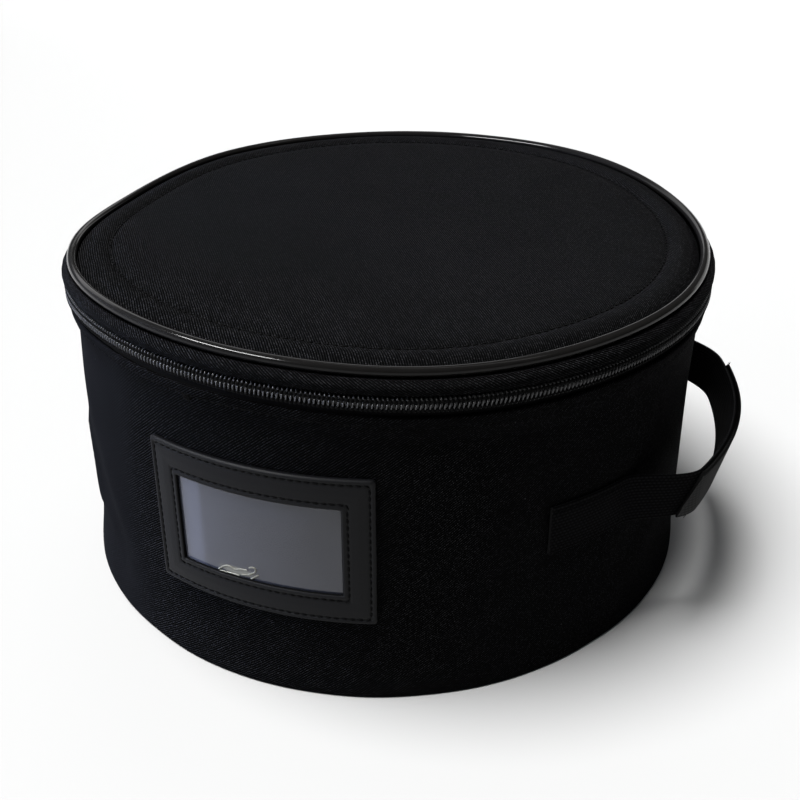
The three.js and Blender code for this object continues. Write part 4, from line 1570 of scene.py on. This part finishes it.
class CARRIER_OT_stage(bpy.types.Operator):
    """Set the pale floor, the soft lights and the camera"""

    bl_idname = "carrier.stage"
    bl_label = "Stage"

    def execute(self, context):
        reach = 6.0
        floor = self.floor(reach)
        self.backdrop(reach)
        self.sky()
        self.overhead()
        windows = {lamp.name: self.window(lamp) for lamp in LAMPS}
        unlit = bpy.data.collections.new("left_window_leaves_out")
        unlit.objects.link(floor)
        unlit.collection_objects[0].light_linking.link_state = "EXCLUDE"
        windows["left_window"].light_linking.receiver_collection = unlit
        self.camera()
        context.scene.view_settings.view_transform = "Standard"
        return {"FINISHED"}

    def staged(self, name, points, faces, finish):
        mesh = bpy.data.meshes.new(name)
        mesh.from_pydata(points, [], faces)
        mesh.materials.append(finish)
        item = new_object(name, mesh)
        return item

    def floor(self, reach):
        corners = [(-reach, -reach, 0), (reach, -reach, 0), (reach, reach, 0), (-reach, reach, 0)]
        return self.staged("floor", corners, [(0, 1, 2, 3)], pale_floor("floor"))

    def backdrop(self, reach):
        turns = np.linspace(0, 2 * math.pi, 64, endpoint=False)
        ring = on_drum(turns[:, None], reach, np.array((0.0, reach)))
        index = np.arange(ring.shape[0] * 2).reshape(-1, 2)
        after = np.roll(index, -1, axis=0)
        faces = np.stack((index[:, 0], index[:, 1], after[:, 1], after[:, 0]), axis=-1)
        finish = pale_backdrop("backdrop")
        backdrop = self.staged("backdrop", ring.reshape(-1, 3).tolist(), faces.tolist(), finish)
        for ray in ("diffuse", "glossy", "transmission", "shadow"):
            setattr(backdrop, "visible_" + ray, False)

    def sky(self):
        world = bpy.data.worlds.new("studio")
        world.use_nodes = True
        sky = world.node_tree.nodes["Background"]
        fill(world.node_tree, sky, {"Color": (0.9, 0.95, 1.0, 1.0), "Strength": 0.05})
        bpy.context.scene.world = world

    def overhead(self):
        sunward = Vector((-0.26, -0.14, 1.0))
        lamp = bpy.data.lights.new("overhead", "SUN")
        lamp.angle = math.radians(32)
        lamp.energy = 9.0
        holder = new_object("overhead", lamp)
        holder.rotation_euler = sunward.to_track_quat("Z", "Y").to_euler()
        holder.visible_glossy = False

    def window(self, lamp):
        light = bpy.data.lights.new(lamp.name, "AREA")
        light.shape = "RECTANGLE"
        light.size, light.size_y = lamp.sides
        light.energy = lamp.watts
        light.color = lamp.tint
        holder = new_object(lamp.name, light)
        self.aim(holder, lamp.place, lamp.target)
        holder.visible_camera = False
        holder.visible_diffuse = lamp.lights == "cloth"
        holder.visible_glossy = lamp.lights == "gloss"
        return holder

    def camera(self):
        lens = bpy.data.cameras.new("camera")
        lens.lens = 53.99
        lens.sensor_width = 36.0
        camera = new_object("camera", lens)
        self.aim(camera, place=(0.2123, -0.5422, 0.3993), target=(0.00645, 0.00244, 0.0683))
        bpy.context.scene.camera = camera

    def aim(self, holder, place, target):
        holder.location = place
        holder.rotation_euler = (Vector(target) - Vector(place)).to_track_quat("-Z", "Y").to_euler()


OPERATORS = (
    CARRIER_OT_stage,
    CARRIER_OT_side_wall,
    CARRIER_OT_base_panel,
    CARRIER_OT_lid_panel,
    CARRIER_OT_lid_piping,
    CARRIER_OT_lid_band,
    CARRIER_OT_hinge_strip,
    CARRIER_OT_zip_tapes,
    CARRIER_OT_zip_coils,
    CARRIER_OT_zip_slider,
    CARRIER_OT_window_frame,
    CARRIER_OT_window_film,
    CARRIER_OT_handle,
    CARRIER_OT_stitches,
    CARRIER_OT_loose_threads,
)


class CARRIER_PT_panel(bpy.types.Panel):
    """Sizes, colours and pieces of the cap carrier"""

    bl_idname = "CARRIER_PT_panel"
    bl_label = "Cap carrier"
    bl_space_type = "VIEW_3D"
    bl_region_type = "UI"
    bl_category = "Cap carrier"

    def draw(self, context):
        for operator in OPERATORS:
            self.layout.operator(operator.bl_idname)
        for key, group in GROUPS.items():
            box = self.layout.box()
            box.label(text=group.__doc__)
            for name in group.__annotations__:
                box.prop(getattr(context.scene, key), name)


CLASSES = (*GROUPS.values(), *OPERATORS, CARRIER_PT_panel)


def register():
    for item in CLASSES:
        bpy.utils.register_class(item)
    for key, group in GROUPS.items():
        setattr(bpy.types.Scene, key, bpy.props.PointerProperty(type=group))


def unregister():
    for key in GROUPS:
        delattr(bpy.types.Scene, key)
    for item in reversed(CLASSES):
        bpy.utils.unregister_class(item)


def main():
    register()
    for operator in OPERATORS:
        step = operator.bl_idname.split(".")[1]
        getattr(bpy.ops.carrier, step)()


if __name__ == "__main__":
    main()
